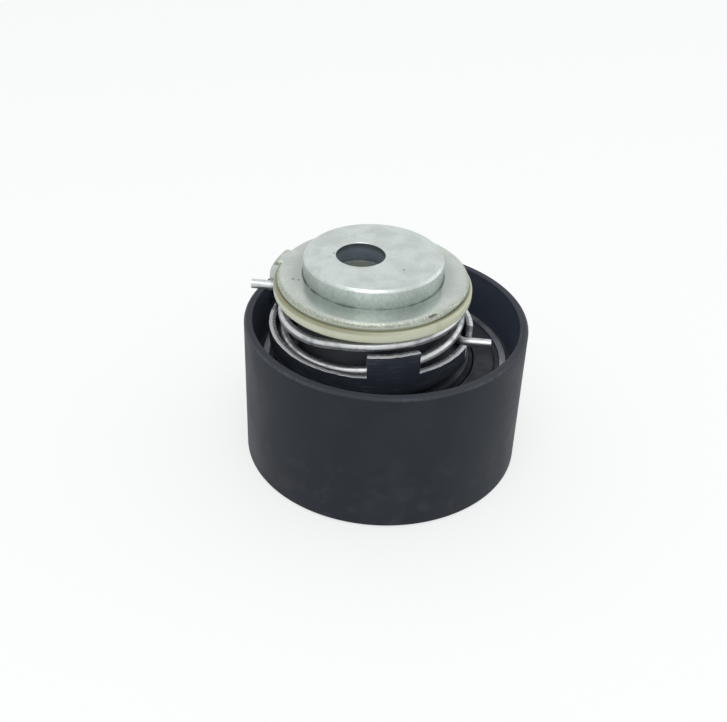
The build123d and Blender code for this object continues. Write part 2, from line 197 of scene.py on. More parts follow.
class Skin:
    """A surface while it is finished: its shader, and the colour and relief laid on it so far."""

    def __init__(self, name: str, colour: str, roughness: float, metallic: float) -> None:
        """Start a material with a plain surface.

        Args:
            name: plain name of the material.
            colour: sRGB hex of the clean surface.
            roughness: how widely it spreads a highlight.
            metallic: 1 for bare metal, 0 for a coating, plastic or rubber.
        """
        self.material = bpy.data.materials.new(name)
        self.material.use_nodes = True
        self.tree = self.material.node_tree
        self.shader = self.tree.nodes["Principled BSDF"]
        self.shader.inputs["Base Color"].default_value = linear(colour)
        self.shader.inputs["Roughness"].default_value = roughness
        self.shader.inputs["Metallic"].default_value = metallic
        self.colour: bpy.types.NodeSocket | Colour = linear(colour)
        self.roughness: bpy.types.NodeSocket | float = roughness
        self.relief: bpy.types.NodeSocket | None = None

    def add(self, kind: str, inputs: dict | None = None, **settings: object) -> bpy.types.Node:
        """Add a node to this surface's tree."""
        return add_node(self.tree, kind, inputs, **settings)

    def millimetres(
        self, centre: Axis = (0.0, 0.0), stretch: Point = (1.0, 1.0, 1.0)
    ) -> bpy.types.NodeSocket:
        """Give the piece's own coordinates in millimetres.

        Args:
            centre: place of the vertical axis that they are counted from.
            stretch: factor on each direction, for a pattern that is longer one way.

        Returns:
            Socket with the coordinates.
        """
        place = self.add("TexCoord").outputs["Object"]
        shift = (-centre[0] * stretch[0], -centre[1] * stretch[1], 0.0)
        scale = tuple(factor / MM for factor in stretch)
        return self.add("Mapping", {"Vector": place, "Location": shift, "Scale": scale}).outputs[0]

    def height(self) -> bpy.types.NodeSocket:
        """Give the height above the floor in millimetres."""
        return self.add("SeparateXYZ", {0: self.millimetres()}).outputs["Z"]

    def reach(self, centre: Axis) -> bpy.types.NodeSocket:
        """Give the distance from a vertical axis in millimetres."""
        flat = self.millimetres(centre, (1.0, 1.0, 0.0))
        return self.add("VectorMath", {0: flat}, operation="LENGTH").outputs["Value"]

    def cloud(
        self, size: float, detail: float = 4.0, twist: float = 0.0, stretch: Point = (1.0, 1.0, 1.0)
    ) -> bpy.types.NodeSocket:
        """Give an uneven pattern around a half, whose patches have a size and may be twisted."""
        inputs = {"Vector": self.millimetres(stretch=stretch), "Scale": 1 / size, "Detail": detail}
        return self.add("TexNoise", {**inputs, "Distortion": twist}).outputs["Fac"]

    def mask(self, *fades: Fade) -> bpy.types.NodeSocket:
        """Join fades to one mask, which covers only where all of them do.

        Args:
            fades: the fades.

        Returns:
            Socket with the mask.
        """
        joined = None
        for fade in fades:
            if fade.low < fade.high:
                limits = (fade.low, fade.high, 0.0, fade.top)
            else:
                limits = (fade.high, fade.low, fade.top, 0.0)
            inputs = {"Value": fade.value, **dict(enumerate(limits, 1))}
            level = self.add("MapRange", inputs, interpolation_type="SMOOTHSTEP").outputs["Result"]
            if joined is None:
                joined = level
            else:
                joined = self.add("Math", {0: joined, 1: level}, operation="MULTIPLY").outputs[0]
        return joined

    def cover(self, colour: str, *fades: Fade) -> None:
        """Lay a colour over the surface where all the fades let it.

        Args:
            colour: sRGB hex of the colour.
            fades: where it lies.
        """
        inputs = {0: self.mask(*fades), MIX_UNDER: self.colour, MIX_OVER: linear(colour)}
        self.colour = self.add("Mix", inputs, data_type="RGBA").outputs[MIX_RESULT]
        self.tree.links.new(self.colour, self.shader.inputs["Base Color"])

    def spot(self, colour: str, blot: Blot) -> None:
        """Lay a small blot, whose edge wanders by up to half its radius.

        Args:
            colour: sRGB hex of the blot.
            blot: its place and size.
        """
        here = self.millimetres()
        grain = self.add("TexNoise", {"Vector": here, "Scale": 1.4 / blot.radius, "Detail": 2.0})
        shift = {0: grain.outputs["Color"], 1: (blot.radius,) * 3}
        shift = self.add("VectorMath", shift, operation="MULTIPLY").outputs[0]
        moved = self.add("VectorMath", {0: here, 1: shift}, operation="ADD").outputs[0]
        centre = tuple(value + blot.radius / 2 for value in blot.place)
        gap = self.add("VectorMath", {0: moved, 1: centre}, operation="DISTANCE").outputs["Value"]
        self.cover(colour, Fade(gap, blot.radius, 0.6 * blot.radius, blot.cover))

    def vary_roughness(self, spread: float, *fades: Fade) -> None:
        """Make the surface rougher where the fades cover, on top of what it is.

        Args:
            spread: how much rougher.
            fades: where it is.
        """
        inputs = {0: self.mask(*fades), 1: spread, 2: self.roughness}
        self.roughness = self.add("Math", inputs, operation="MULTIPLY_ADD").outputs[0]
        self.tree.links.new(self.roughness, self.shader.inputs["Roughness"])

    def raise_relief(self, height: bpy.types.NodeSocket, depth: float) -> None:
        """Give the surface a fine relief, on top of those it has.

        Args:
            height: socket with the relief, from 0 to 1.
            depth: its height in millimetres.
        """
        inputs = {"Height": height, "Distance": depth * MM}
        if self.relief is not None:
            inputs["Normal"] = self.relief
        self.relief = self.add("Bump", inputs).outputs[0]
        self.tree.links.new(self.relief, self.shader.inputs["Normal"])


@dataclass(frozen=True)
class Finish:
    """What a surface is made of and how it was made.

    Attributes:
        name: plain name of the material.
        colour: sRGB hex of the clean surface.
        roughness: how widely it spreads a highlight.
        metallic: 1 for bare metal, 0 for a coating, plastic or rubber.
    """

    name: str
    colour: str
    roughness: float
    metallic: float = 0.0

    def build(self) -> bpy.types.Material:
        """Make the material, with this finish's pattern on it.

        Returns:
            The material.
        """
        skin = Skin(self.name, self.colour, self.roughness, self.metallic)
        self.pattern(skin)
        log.info("material %s: %d nodes", self.name, len(skin.tree.nodes))
        return skin.material

    def pattern(self, skin: Skin) -> None:
        """Lay what varies over the surface. Each finish gives its own."""
        raise NotImplementedError


@dataclass(frozen=True)
class BlackCoating(Finish):
    """Black coating on turned steel: satin blue-black, faintly clouded, with thin rubbed rims that
    carry a painted highlight, and with painted light on its bore and top end.

    Attributes:
        faded: sRGB hex of the coating where it has gone greyer.
        inside: sRGB hex of a lighter coating inside the drum, painted light in its shaded bore.
        dust: sRGB hex of the dry dust and smudges on it.
        rim: sRGB hex of the greyer coating on the rim's end face, painted light where light falls
            on it from above.
        rub_and_glint: sRGB hex of the coating rubbed thin along the rims, also a painted highlight
            on the outer chamfers.
        gloss: level of the coating's reflection, lower than that of a clear plastic.
        cloud_size: size of the cloudy patches.
        smudge_size: size of the smudges.
        speck_spacing: spacing of the dust specks.
        line_pitch: spacing of the turned lines, drawn coarser than the real ones so that they show.
        radius: radius of the drum.
        wall: thickness of its rim.
        width: width of the drum.
        rim_band_width: width of the bands at the rims: the greyer top band, which is painted light,
            and the rubbed lines, which are partly a painted highlight.
    """

    faded: str = "#292D34"
    inside: str = "#414857"
    dust: str = "#4A4B50"
    rim: str = "#3C3F46"
    rub_and_glint: str = "#6C7078"
    gloss: float = 0.14
    cloud_size: float = 9.0
    smudge_size: float = 4.0
    speck_spacing: float = 5.0
    line_pitch: float = 0.45
    radius: float = 30.0
    wall: float = 1.8
    width: float = 32.5
    rim_band_width: float = 0.7

    def pattern(self, skin: Skin) -> None:
        """Cloud the coating, dust it, paint light on its bore and top end, rub its rims with a
        partly painted highlight, and give it turned lines.

        Args:
            skin: the drum's surface.
        """
        height = skin.height()
        cloud = skin.cloud(self.cloud_size, 5.0)
        skin.cover(self.faded, Fade(cloud, 0.38, 0.68))
        smudge = skin.cloud(self.smudge_size, 5.0, 0.1)
        skin.cover(self.dust, Fade(smudge, 0.45, 0.75), Fade(height, 0.75 * self.width, 0.0, 0.25))
        cells = {"Vector": skin.millimetres(), "Scale": 1 / self.speck_spacing}
        speck = skin.add("TexVoronoi", cells).outputs["Distance"]
        skin.cover(self.dust, Fade(speck, 0.03, 0.015, 0.5))
        reach = skin.reach((0.0, 0.0))
        bore = self.radius - self.wall
        # painted light: the drum's bore is drawn lighter than its shade
        skin.cover(self.inside, Fade(reach, bore + 0.5, bore + 0.1, 0.9))
        rim_band_from = self.width - self.rim_band_width
        # painted light: the drum's top end is drawn lighter, where light falls on it
        skin.cover(self.rim, Fade(height, rim_band_from, rim_band_from + 0.4, 0.65))
        outside = Fade(reach, self.radius - 0.6, self.radius - 0.2)
        grit = Fade(skin.cloud(0.8, 3.0), 0.2, 0.7)
        stretches = Fade(skin.cloud(14.0, 2.0), 0.3, 0.65)
        # rubbed lines on the outer chamfers: wear, and a painted highlight where the chamfers catch
        # light
        for low, high in ((rim_band_from, rim_band_from + 0.3), (self.rim_band_width, self.rim_band_width - 0.3)):
            skin.cover(self.rub_and_glint, outside, Fade(height, low, high, 0.25), grit, stretches)
        skin.shader.inputs["Specular IOR Level"].default_value = self.gloss
        skin.vary_roughness(0.12, Fade(cloud, 0.3, 0.7))
        skin.raise_relief(skin.cloud(1.0, 2.0, 0.0, (0.04, 0.04, 1 / self.line_pitch)), 0.02)


@dataclass(frozen=True)
class ZincPlate(Finish):
    """Clear zinc plating on steel: pale greenish grey, finely grained, with a band along an edge:
    rubbed wear, and on some pieces a painted highlight.

    Attributes:
        dull: sRGB hex of the duller patches, and of the painted shade round the seam.
        rub_and_glint: sRGB hex of the band along an edge, rubbed wear on one piece and a painted
            highlight on another.
        grime_and_shade: sRGB hex of the dirt in spots, and of painted shade along the seam and in
            the hole's mouth.
        oil_and_shade: sRGB hex of oil that creeps up from below, with painted shade on the lower
            side.
        painted_bore_light: sRGB hex of the wall of a drilled hole, painted lighter than the shade
            in the deep hole.
        centre: axis of the turned piece.
        radius: radius of its side.
        cloud_size: size of the duller patches.
        cloud_cover: how much of the clean plating they hide.
        grain_size: size of the plating's grain, drawn coarser than the real one so that it shows.
        ring_pitch: spacing of the tool marks on the top.
        mark_width: width of the upright marks on the side.
        mark_cover: how much of the side they hide.
        rub_and_glint_band: lowest and highest point of that band.
        seam: radius and height of a joint, along which shade is painted.
        painted_shade_halo: how far from the joint a painted shade reaches, for the reflection and
            shade of the piece above.
        foot: radius and height of the lower edge, where the oil and painted shade start.
        bore: axis of the hole.
        bore_radius: its radius.
        bore_shade: highest point of the hole's darker mouth, and where it ends.
        blots: dark spots.
    """

    dull: str = "#A3ABA8"
    rub_and_glint: str = "#C6CCBA"
    grime_and_shade: str = "#4A4E4A"
    oil_and_shade: str = "#75775C"
    painted_bore_light: str = "#A6B1BD"
    centre: Axis = (0.0, 0.0)
    radius: float = 20.0
    cloud_size: float = 4.0
    cloud_cover: float = 0.35
    grain_size: float = 0.4
    ring_pitch: float = 0.6
    mark_width: float = 0.5
    mark_cover: float = 0.4
    rub_and_glint_band: Span | None = None
    seam: tuple[float, float] | None = None
    painted_shade_halo: float = 4.2
    foot: tuple[float, float] | None = None
    bore: Axis | None = None
    bore_radius: float = 5.05
    bore_shade: Span | None = None
    blots: tuple[Blot, ...] = ()

    def pattern(self, skin: Skin) -> None:
        """Cloud and grain the plating, and add tool marks, a band of rubbing and painted highlight,
        painted light and shade in the bore, painted shade at the seam, oil and painted shade at the
        foot, and spots.

        Args:
            skin: the plated surface.
        """
        cloud = skin.cloud(self.cloud_size, 4.0, 0.3)
        grain = skin.cloud(self.grain_size, 3.0)
        reach = skin.reach(self.centre)
        skin.cover(self.dull, Fade(cloud, 0.35, 0.7, self.cloud_cover))
        skin.cover(self.dull, Fade(grain, 0.5, 0.75, 0.4))
        across = 1 / self.mark_width
        marks = skin.cloud(1.0, 4.0, 0.0, (across, across, 0.7 * across))
        side = Fade(reach, self.radius - 0.5, self.radius - 0.1)
        skin.cover(self.dull, Fade(marks, 0.42, 0.7, self.mark_cover), side)
        if self.bore is not None:
            drilled = Fade(skin.reach(self.bore), self.bore_radius + 0.05, self.bore_radius + 0.01)
            # painted light: the hole's wall is drawn lighter than its shade
            skin.cover(self.painted_bore_light, drilled)
            if self.bore_shade is not None:
                # painted shade: the hole's mouth is drawn darker
                skin.cover(self.grime_and_shade, drilled, Fade(skin.height(), *self.bore_shade, 0.7))
            skin.vary_roughness(0.2, drilled)
        # a band along an edge: rubbed wear, and where it is bright a painted highlight
        if self.rub_and_glint_band is not None:
            low, high = self.rub_and_glint_band
            height = skin.height()
            band = (Fade(height, low - 0.15, low + 0.15), Fade(height, high + 0.1, high - 0.25))
            skin.cover(self.rub_and_glint, *band, Fade(grain, 0.3, 0.55, 0.9))
            skin.vary_roughness(0.3, *band)
        if self.seam is not None:
            radius, level = self.seam
            # painted shade: a darker ring round the joint, for the dark reflection and shade of the
            # disc on the plate
            skin.cover(self.dull, Fade(reach, radius + self.painted_shade_halo, radius + 0.5, 0.9))
            # painted shade: a dark line along the joint, broken up by the cloud
            outer = Fade(reach, radius + 0.5, radius + 0.1)
            inner = Fade(reach, radius - 0.5, radius - 0.1)
            low = Fade(skin.height(), level + 0.4, level + 0.05)
            skin.cover(self.grime_and_shade, outer, inner, low, Fade(cloud, 0.2, 0.6, 0.9))
        if self.foot is not None:
            radius, level = self.foot
            low = Fade(skin.height(), level + 0.8, level + 0.35, 0.8)
            # oil, and painted shade along the lower part of the side
            skin.cover(self.oil_and_shade, low, Fade(reach, radius + 0.4, radius + 0.1))
        for blot in self.blots:
            skin.spot(self.grime_and_shade, blot)
        skin.vary_roughness(0.1, Fade(cloud, 0.3, 0.7))
        skin.raise_relief(grain, 0.006)
        ring = {"W": reach, "Scale": 1 / self.ring_pitch, "Detail": 1.0}
        skin.raise_relief(skin.add("TexNoise", ring, noise_dimensions="1D").outputs["Fac"], 0.008)


@dataclass(frozen=True)
class BlackSheet(Finish):
    """Black oxide on pressed sheet: blue-black and glossier than the drum, with fine scuffs.

    Attributes:
        scuff: sRGB hex of the scuffs.
        painted_glint: sRGB hex of a painted highlight where a corner catches light.
        gloss: level of the oxide's reflection.
        scuff_length: length of a scuff.
        cloud_size: size of the cloudy patches.
        corners: places of the painted highlights.
    """

    scuff: str = "#686C74"
    painted_glint: str = "#D8DBDF"
    gloss: float = 0.45
    scuff_length: float = 5.0
    cloud_size: float = 3.0
    corners: tuple[Blot, ...] = ()

    def pattern(self, skin: Skin) -> None:
        """Lay scuffs that run round the sheet, painted highlights at its corners, and a slightly
        uneven skin.

        Args:
            skin: the sheet's surface.
        """
        cloud = skin.cloud(self.cloud_size, 5.0)
        fine = 1 / (0.06 * self.scuff_length)
        scuffs = skin.cloud(1.0, 4.0, 0.4, (1 / self.scuff_length, 1 / self.scuff_length, fine))
        skin.cover(self.scuff, Fade(scuffs, 0.52, 0.72, 0.5), Fade(cloud, 0.3, 0.65))
        # painted highlight: bright spots where the notch's corner catches light
        for corner in self.corners:
            skin.spot(self.painted_glint, corner)
        skin.shader.inputs["Specular IOR Level"].default_value = self.gloss
        skin.vary_roughness(0.15, Fade(cloud, 0.35, 0.7))
        skin.raise_relief(skin.cloud(0.5, 3.0), 0.015)


@dataclass(frozen=True)
class ShearedSteel(Finish):
    """Bare steel where sheet was sheared: burnished bright on the outer half; the inner half is
    darker, torn steel with painted shade.

    Attributes:
        torn_and_shade: sRGB hex of the torn patches, and of the painted shade on the inner half.
        grain_size: size of the tears.
        centre: axis of the sheet's wall.
        darker_half_to: radius where the darker inner half ends.
    """

    torn_and_shade: str = "#4A4D54"
    grain_size: float = 0.4
    centre: Axis = (0.0, 0.0)
    darker_half_to: float = 20.85

    def pattern(self, skin: Skin) -> None:
        """Darken the inner half with painted shade, break the bright edge up with torn patches, and
        give it a coarse relief.

        Args:
            skin: the sheared edge's surface.
        """
        grain = skin.cloud(self.grain_size, 4.0)
        reach = skin.reach(self.centre)
        # painted shade, with torn steel: the inner half of the edge is drawn darker
        torn_and_shaded_half = Fade(reach, self.darker_half_to + 0.15, self.darker_half_to - 0.1, 0.8)
        skin.cover(self.torn_and_shade, torn_and_shaded_half, Fade(grain, 0.2, 0.5))
        skin.cover(self.torn_and_shade, Fade(grain, 0.6, 0.74, 0.6))
        skin.vary_roughness(0.2, Fade(grain, 0.4, 0.6))
        skin.raise_relief(grain, 0.12)


@dataclass(frozen=True)
class DrawnWire(Finish):
    """Bright drawn spring wire: a sharp white highlight on cool grey, with faint dull patches.

    Attributes:
        dull: sRGB hex of the dull patches.
        patch_size: size of a dull patch.
    """

    dull: str = "#8E9294"
    patch_size: float = 2.5

    def pattern(self, skin: Skin) -> None:
        """Dull the wire here and there and give it fine die marks.

        Args:
            skin: the wire's surface.
        """
        patch = skin.cloud(self.patch_size, 5.0)
        skin.cover(self.dull, Fade(patch, 0.48, 0.7, 0.7))
        skin.vary_roughness(0.14, Fade(patch, 0.35, 0.65))
        skin.raise_relief(skin.cloud(0.3, 2.0, 0.0, (0.25, 0.25, 1.0)), 0.008)


@dataclass(frozen=True)
class MouldedNylon(Finish):
    """Moulded nylon: cream, faintly translucent, oiled at its top, with a dark line of painted
    shade where the plate lies on it.

    Attributes:
        oil_and_shade_tone: sRGB hex of the oiled edge, also used for painted shade.
        dirt: sRGB hex of the specks.
        oil_and_shade_rise: height where the oil and painted shade start, and where they are thick.
        oil_and_shade_drift: places across the part where the oil and painted shade are faint and
            where they are thick.
        centre: axis of the part.
        plate_rim: radius of the plate on it, along which a painted shadow line lies.
        blots: dirt specks.
    """

    oil_and_shade_tone: str = "#7E7F62"
    dirt: str = "#4B4636"
    oil_and_shade_rise: Span = (40.0, 41.0)
    oil_and_shade_drift: Span = (8.0, -10.0)
    centre: Axis = (0.0, 0.0)
    plate_rim: float = 0.0
    blots: tuple[Blot, ...] = ()

    def pattern(self, skin: Skin) -> None:
        """Oil the upper edge, paint shade on it, add specks, and let a little light into the
        plastic.

        Args:
            skin: the nylon's surface.
        """
        patch = skin.cloud(4.0, 4.0, 0.5)
        upper = Fade(skin.height(), *self.oil_and_shade_rise)
        across = skin.add("SeparateXYZ", {0: skin.millimetres()}).outputs["X"]
        reach = skin.reach(self.centre)
        skin.cover(self.oil_and_shade_tone, upper, Fade(patch, 0.1, 0.5, 0.3))
        # oil, and painted shade that grows towards one side
        skin.cover(self.oil_and_shade_tone, upper, Fade(across, *self.oil_and_shade_drift, 0.75))
        skin.cover(self.oil_and_shade_tone, Fade(patch, 0.52, 0.75, 0.2))
        # painted shadow: a dark line under the plate's rim
        skin.cover(self.oil_and_shade_tone, upper, Fade(reach, self.plate_rim + 0.5, self.plate_rim + 0.15, 0.8))
        for blot in self.blots:
            skin.spot(self.dirt, blot)
        skin.shader.inputs["Subsurface Weight"].default_value = 0.15
        skin.shader.inputs["Subsurface Scale"].default_value = 0.8 * MM
        skin.vary_roughness(0.1, Fade(patch, 0.3, 0.7))
        skin.raise_relief(skin.cloud(0.6, 2.0), 0.01)


@dataclass(frozen=True)
class TurnedSteel(Finish):
    """Steel turned or ground round the drum's axis: fine rings, dull with a film of grease.

    Attributes:
        film: sRGB hex of the film of grease and dust.
        cover: how much of the surface the film covers.
        ring_pitch: spacing of the rings, drawn coarser than the real ones so that they show.
        ring_depth: depth of the rings.
    """

    film: str = "#6B655C"
    cover: float = 0.5
    ring_pitch: float = 0.25
    ring_depth: float = 0.008

    def pattern(self, skin: Skin) -> None:
        """Lay the film and the rings.

        Args:
            skin: the turned surface.
        """
        patch = skin.cloud(3.0, 5.0, 0.3)
        skin.cover(self.film, Fade(patch, 0.35, 0.7, self.cover))
        skin.vary_roughness(0.15, Fade(patch, 0.35, 0.65))
        ring = {"W": skin.reach((0.0, 0.0)), "Scale": 1 / self.ring_pitch, "Detail": 2.0}
        rings = skin.add("TexNoise", ring, noise_dimensions="1D").outputs["Fac"]
        skin.raise_relief(rings, self.ring_depth)


@dataclass(frozen=True)
class StreakedSteel(Finish):
    """Dark phosphate on steel, wiped with oil: dark grey with upright streaks where parts rub.

    Attributes:
        bright: sRGB hex of the streaks.
        streak_width: width of a streak.
        streak_length: length of a streak.
    """

    bright: str = "#5C5E66"
    streak_width: float = 0.5
    streak_length: float = 8.0

    def pattern(self, skin: Skin) -> None:
        """Lay upright streaks and a light grain.

        Args:
            skin: the phosphated surface.
        """
        across = 1 / self.streak_width
        streaks = skin.cloud(1.0, 3.0, 0.0, (across, across, 1 / self.streak_length))
        patch = skin.cloud(4.0, 4.0)
        skin.cover(self.bright, Fade(streaks, 0.5, 0.75, 0.7), Fade(patch, 0.3, 0.65))
        skin.vary_roughness(0.15, Fade(patch, 0.35, 0.65))
        skin.raise_relief(streaks, 0.01)


@dataclass(frozen=True)
class MouldedRubber(Finish):
    """Moulded rubber: dull dark grey, slightly greasy, with a fine moulded grain.

    Attributes:
        greasy: sRGB hex of the greasy patches.
    """

    greasy: str = "#323640"

    def pattern(self, skin: Skin) -> None:
        """Grease the rubber in patches and give it a grain.

        Args:
            skin: the rubber's surface.
        """
        patch = skin.cloud(4.0, 5.0)
        skin.cover(self.greasy, Fade(patch, 0.4, 0.7))
        skin.vary_roughness(0.15, Fade(patch, 0.6, 0.4))
        skin.raise_relief(skin.cloud(0.35, 2.0), 0.01)


@dataclass(frozen=True)
class SinteredBronze(Finish):
    """Oil-filled sintered bronze: dull brown gold with small dark pores.

    Attributes:
        pore: sRGB hex of the pores.
        pore_spacing: spacing of the pores, drawn wider than the real ones so that they show.
    """

    pore: str = "#3E2F1C"
    pore_spacing: float = 0.5

    def pattern(self, skin: Skin) -> None:
        """Scatter pores and vary the oil on the surface.

        Args:
            skin: the bronze's surface.
        """
        cells = {"Vector": skin.millimetres(), "Scale": 1 / self.pore_spacing}
        pores = skin.add("TexVoronoi", cells).outputs["Distance"]
        skin.cover(self.pore, Fade(pores, 0.3, 0.15, 0.7))
        skin.vary_roughness(0.12, Fade(skin.cloud(3.0), 0.35, 0.65))
        skin.raise_relief(pores, 0.02)


def polar(place: Vector, axis: Axis) -> tuple[float, float]:
    """Give a place's distance from a vertical axis and its angle about it, from 0 to 360."""
    x, y = place.x - axis[0], place.y - axis[1]
    return math.hypot(x, y), math.degrees(math.atan2(y, x)) % 360.0


@dataclass(frozen=True)
class Corner:
    """One corner of an outline.

    Attributes:
        radius: distance from the axis that the outline is spun about.
        height: height above the floor.
        rounding: radius of the corner.
    """

    radius: float
    height: float
    rounding: float = 0.0


@dataclass(frozen=True)
class Ring:
    """One circle of a body whose hole may lie off its axis.

    Attributes:
        centre: place of the circle's axis.
        radius: its radius.
        height: its height above the floor.
    """

    centre: Axis
    radius: float
    height: float


class Shape:
    """A mesh under construction in millimetres, shaped by bmesh operators."""

    def __init__(self) -> None:
        """Start with an empty mesh."""
        self.mesh = bmesh.new()

    def bevel(self, geometry: Sequence, width: float, steps: int, affect: str) -> None:
        """Round points or edges of the mesh.

        Args:
            geometry: the points or edges.
            width: width of the rounding.
            steps: number of runs in it.
            affect: VERTICES or EDGES, as the geometry is.
        """
        bmesh.ops.bevel(
            self.mesh,
            geom=geometry,
            offset=width,
            offset_type="OFFSET",
            segments=steps,
            profile=0.5,
            affect=affect,
            material=-1,
        )

    def draw_outline(self, corners: Sequence[Corner], steps: int = ROUND_STEPS) -> None:
        """Draw a closed outline with rounded corners in the plane through the axis.

        Args:
            corners: the outline's corners in order.
            steps: number of runs in a rounded corner.
        """
        points = [self.mesh.verts.new((corner.radius, 0.0, corner.height)) for corner in corners]
        self.mesh.faces.new(points)
        for point, corner in zip(points, corners):
            if corner.rounding > 0.0:
                self.bevel([point], corner.rounding, steps, "VERTICES")
        bmesh.ops.delete(self.mesh, geom=self.mesh.faces[:], context="FACES_ONLY")

    def remove_points(self, radius: float, height: float) -> None:
        """Open the outline by taking out its points at one place.

        Args:
            radius: distance of the place from the axis.
            height: height of the place.
        """
        place = Vector((radius, 0.0, height))
        gone = [vert for vert in self.mesh.verts if (vert.co - place).length < SAME_PLACE]
        bmesh.ops.delete(self.mesh, geom=gone, context="VERTS")

    def spin(self, centre: Axis, bounds: Sequence[float], step: float) -> None:
        """Spin the outline round a vertical axis, through one sector after another.

        Args:
            centre: place of the axis.
            bounds: angles where a sector starts or ends, a full turn in all.
            step: largest angle between two copies of the outline.
        """
        turn = Matrix.Rotation(math.radians(bounds[0]), 3, "Z")
        bmesh.ops.rotate(self.mesh, verts=self.mesh.verts[:], cent=(0.0, 0.0, 0.0), matrix=turn)
        geometry = self.mesh.verts[:] + self.mesh.edges[:]
        whole = len(bounds) == 2
        for start, end in zip(bounds, bounds[1:]):
            result = bmesh.ops.spin(
                self.mesh,
                geom=geometry,
                cent=(0.0, 0.0, 0.0),
                axis=(0.0, 0.0, 1.0),
                angle=math.radians(end - start),
                steps=math.ceil((end - start) / step),
                use_merge=whole,
            )
            geometry = result["geom_last"]
        bmesh.ops.translate(self.mesh, verts=self.mesh.verts[:], vec=(*centre, 0.0))

    def loft(self, rings: Sequence[Ring], segments: int = 144) -> None:
        """Join circles to one closed body, the last one back to the first.

        Args:
            rings: the circles in order along the body's skin.
            segments: number of runs in each circle.
        """
        loops = []
        for ring in rings:
            place = Matrix.Translation((*ring.centre, ring.height))
            made = bmesh.ops.create_circle(
                self.mesh, cap_ends=False, radius=ring.radius, segments=segments, matrix=place
            )
            loops.append(list({edge for vert in made["verts"] for edge in vert.link_edges}))
        for lower, upper in zip(loops, loops[1:] + loops[:1]):
            bmesh.ops.bridge_loops(self.mesh, edges=lower + upper)

    def close(self) -> None:
        """Merge doubles and point all faces outwards."""
        bmesh.ops.remove_doubles(self.mesh, verts=self.mesh.verts[:], dist=MERGE_DISTANCE)
        bmesh.ops.recalc_face_normals(self.mesh, faces=self.mesh.faces[:])

    def point_outwards(self, centre: Axis, radius: float) -> None:
        """Turn an open sheet's faces so that its outermost wall points away from the axis.

        Args:
            centre: place of the axis.
            radius: radius of the outermost wall.
        """
        for face in self.mesh.faces:
            arm = face.calc_center_median() - Vector((*centre, 0.0))
            arm.z = 0.0
            if arm.length > WALL_SHARE * radius and abs(face.normal.z) < UPRIGHT:
                if face.normal.dot(arm) < 0.0:
                    bmesh.ops.reverse_faces(self.mesh, faces=self.mesh.faces[:])
                return

    def bevel_rim(self, ring: Ring, width: float) -> None:
        """Round the edge that runs along a circle.

        Args:
            ring: the circle.
            width: width of the rounding.
        """
        rim = []
        for edge in self.mesh.edges:
            gaps = [abs(polar(vert.co, ring.centre)[0] - ring.radius) for vert in edge.verts]
            gaps += [abs(vert.co.z - ring.height) for vert in edge.verts]
            if max(gaps) < RIM_PLAY and edge.is_manifold:
                if edge.calc_face_angle() > math.radians(RIM_ANGLE):
                    rim.append(edge)
        self.bevel(rim, width, ROUND_STEPS, "EDGES")

    def finish(
        self, name: str, *finishes: Finish, edge_angle: float = CURVE_ANGLE
    ) -> bpy.types.Object:
        """Turn the mesh to an object in metres, with smooth curved faces and flat ones.

        Args:
            name: name of the piece.
            finishes: its finishes, by the faces' numbers.
            edge_angle: angle above which an edge stays sharp.

        Returns:
            The object.
        """
        bmesh.ops.scale(self.mesh, verts=self.mesh.verts[:], vec=(MM, MM, MM))
        mesh = bpy.data.meshes.new(name)
        self.mesh.to_mesh(mesh)
        self.mesh.free()
        for finish in finishes:
            mesh.materials.append(finish.build())
        mesh.shade_smooth()
        mesh.set_sharp_from_angle(angle=math.radians(edge_angle))
        piece = add_object(name, mesh)
        weighted = piece.modifiers.new("even_shading", "WEIGHTED_NORMAL")
        weighted.keep_sharp = True
        return piece


def soften_edges(piece: bpy.types.Object, width: float) -> None:
    """Round the edges of a sheet that has its thickness, and shade it after that.

    Args:
        piece: the sheet.
        width: width of the rounding.
    """
    soft = piece.modifiers.new("soft_edges", "BEVEL")
    soft.width = width * MM
    soft.segments = 2
    soft.limit_method = "ANGLE"
    soft.angle_limit = math.radians(EDGE_ANGLE)
    piece.modifiers.move(piece.modifiers.find("even_shading"), len(piece.modifiers) - 1)


def place_piece(piece: bpy.types.Object, body: Body, slot: str, *nodes: str) -> None:
    """Let a finished piece move with a body and stand for nodes of the part.

    Args:
        piece: the finished piece.
        body: the body that it moves with.
        slot: the record's material slot for the piece; it is not used.
        nodes: the nodes that it stands for.
    """
    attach(piece, body.value)
    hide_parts(*nodes)
    log.info("piece %s on %s: %d faces", piece.name, body.value, len(piece.data.polygons))


def dress(node: str, material: bpy.types.Material) -> None:
    """Give a node of the part its material.

    Args:
        node: name of the node.
        material: the material.
    """
    mesh = frame["nodes"][node].data
    mesh.materials.clear()
    mesh.materials.append(material)
    log.info("node %s wears %s", node, material.name)


def node_span(node: str) -> tuple[Vector, Vector]:
    """Give the lowest and the highest corner of a node in millimetres."""
    low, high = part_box(node)
    return low / MM, high / MM


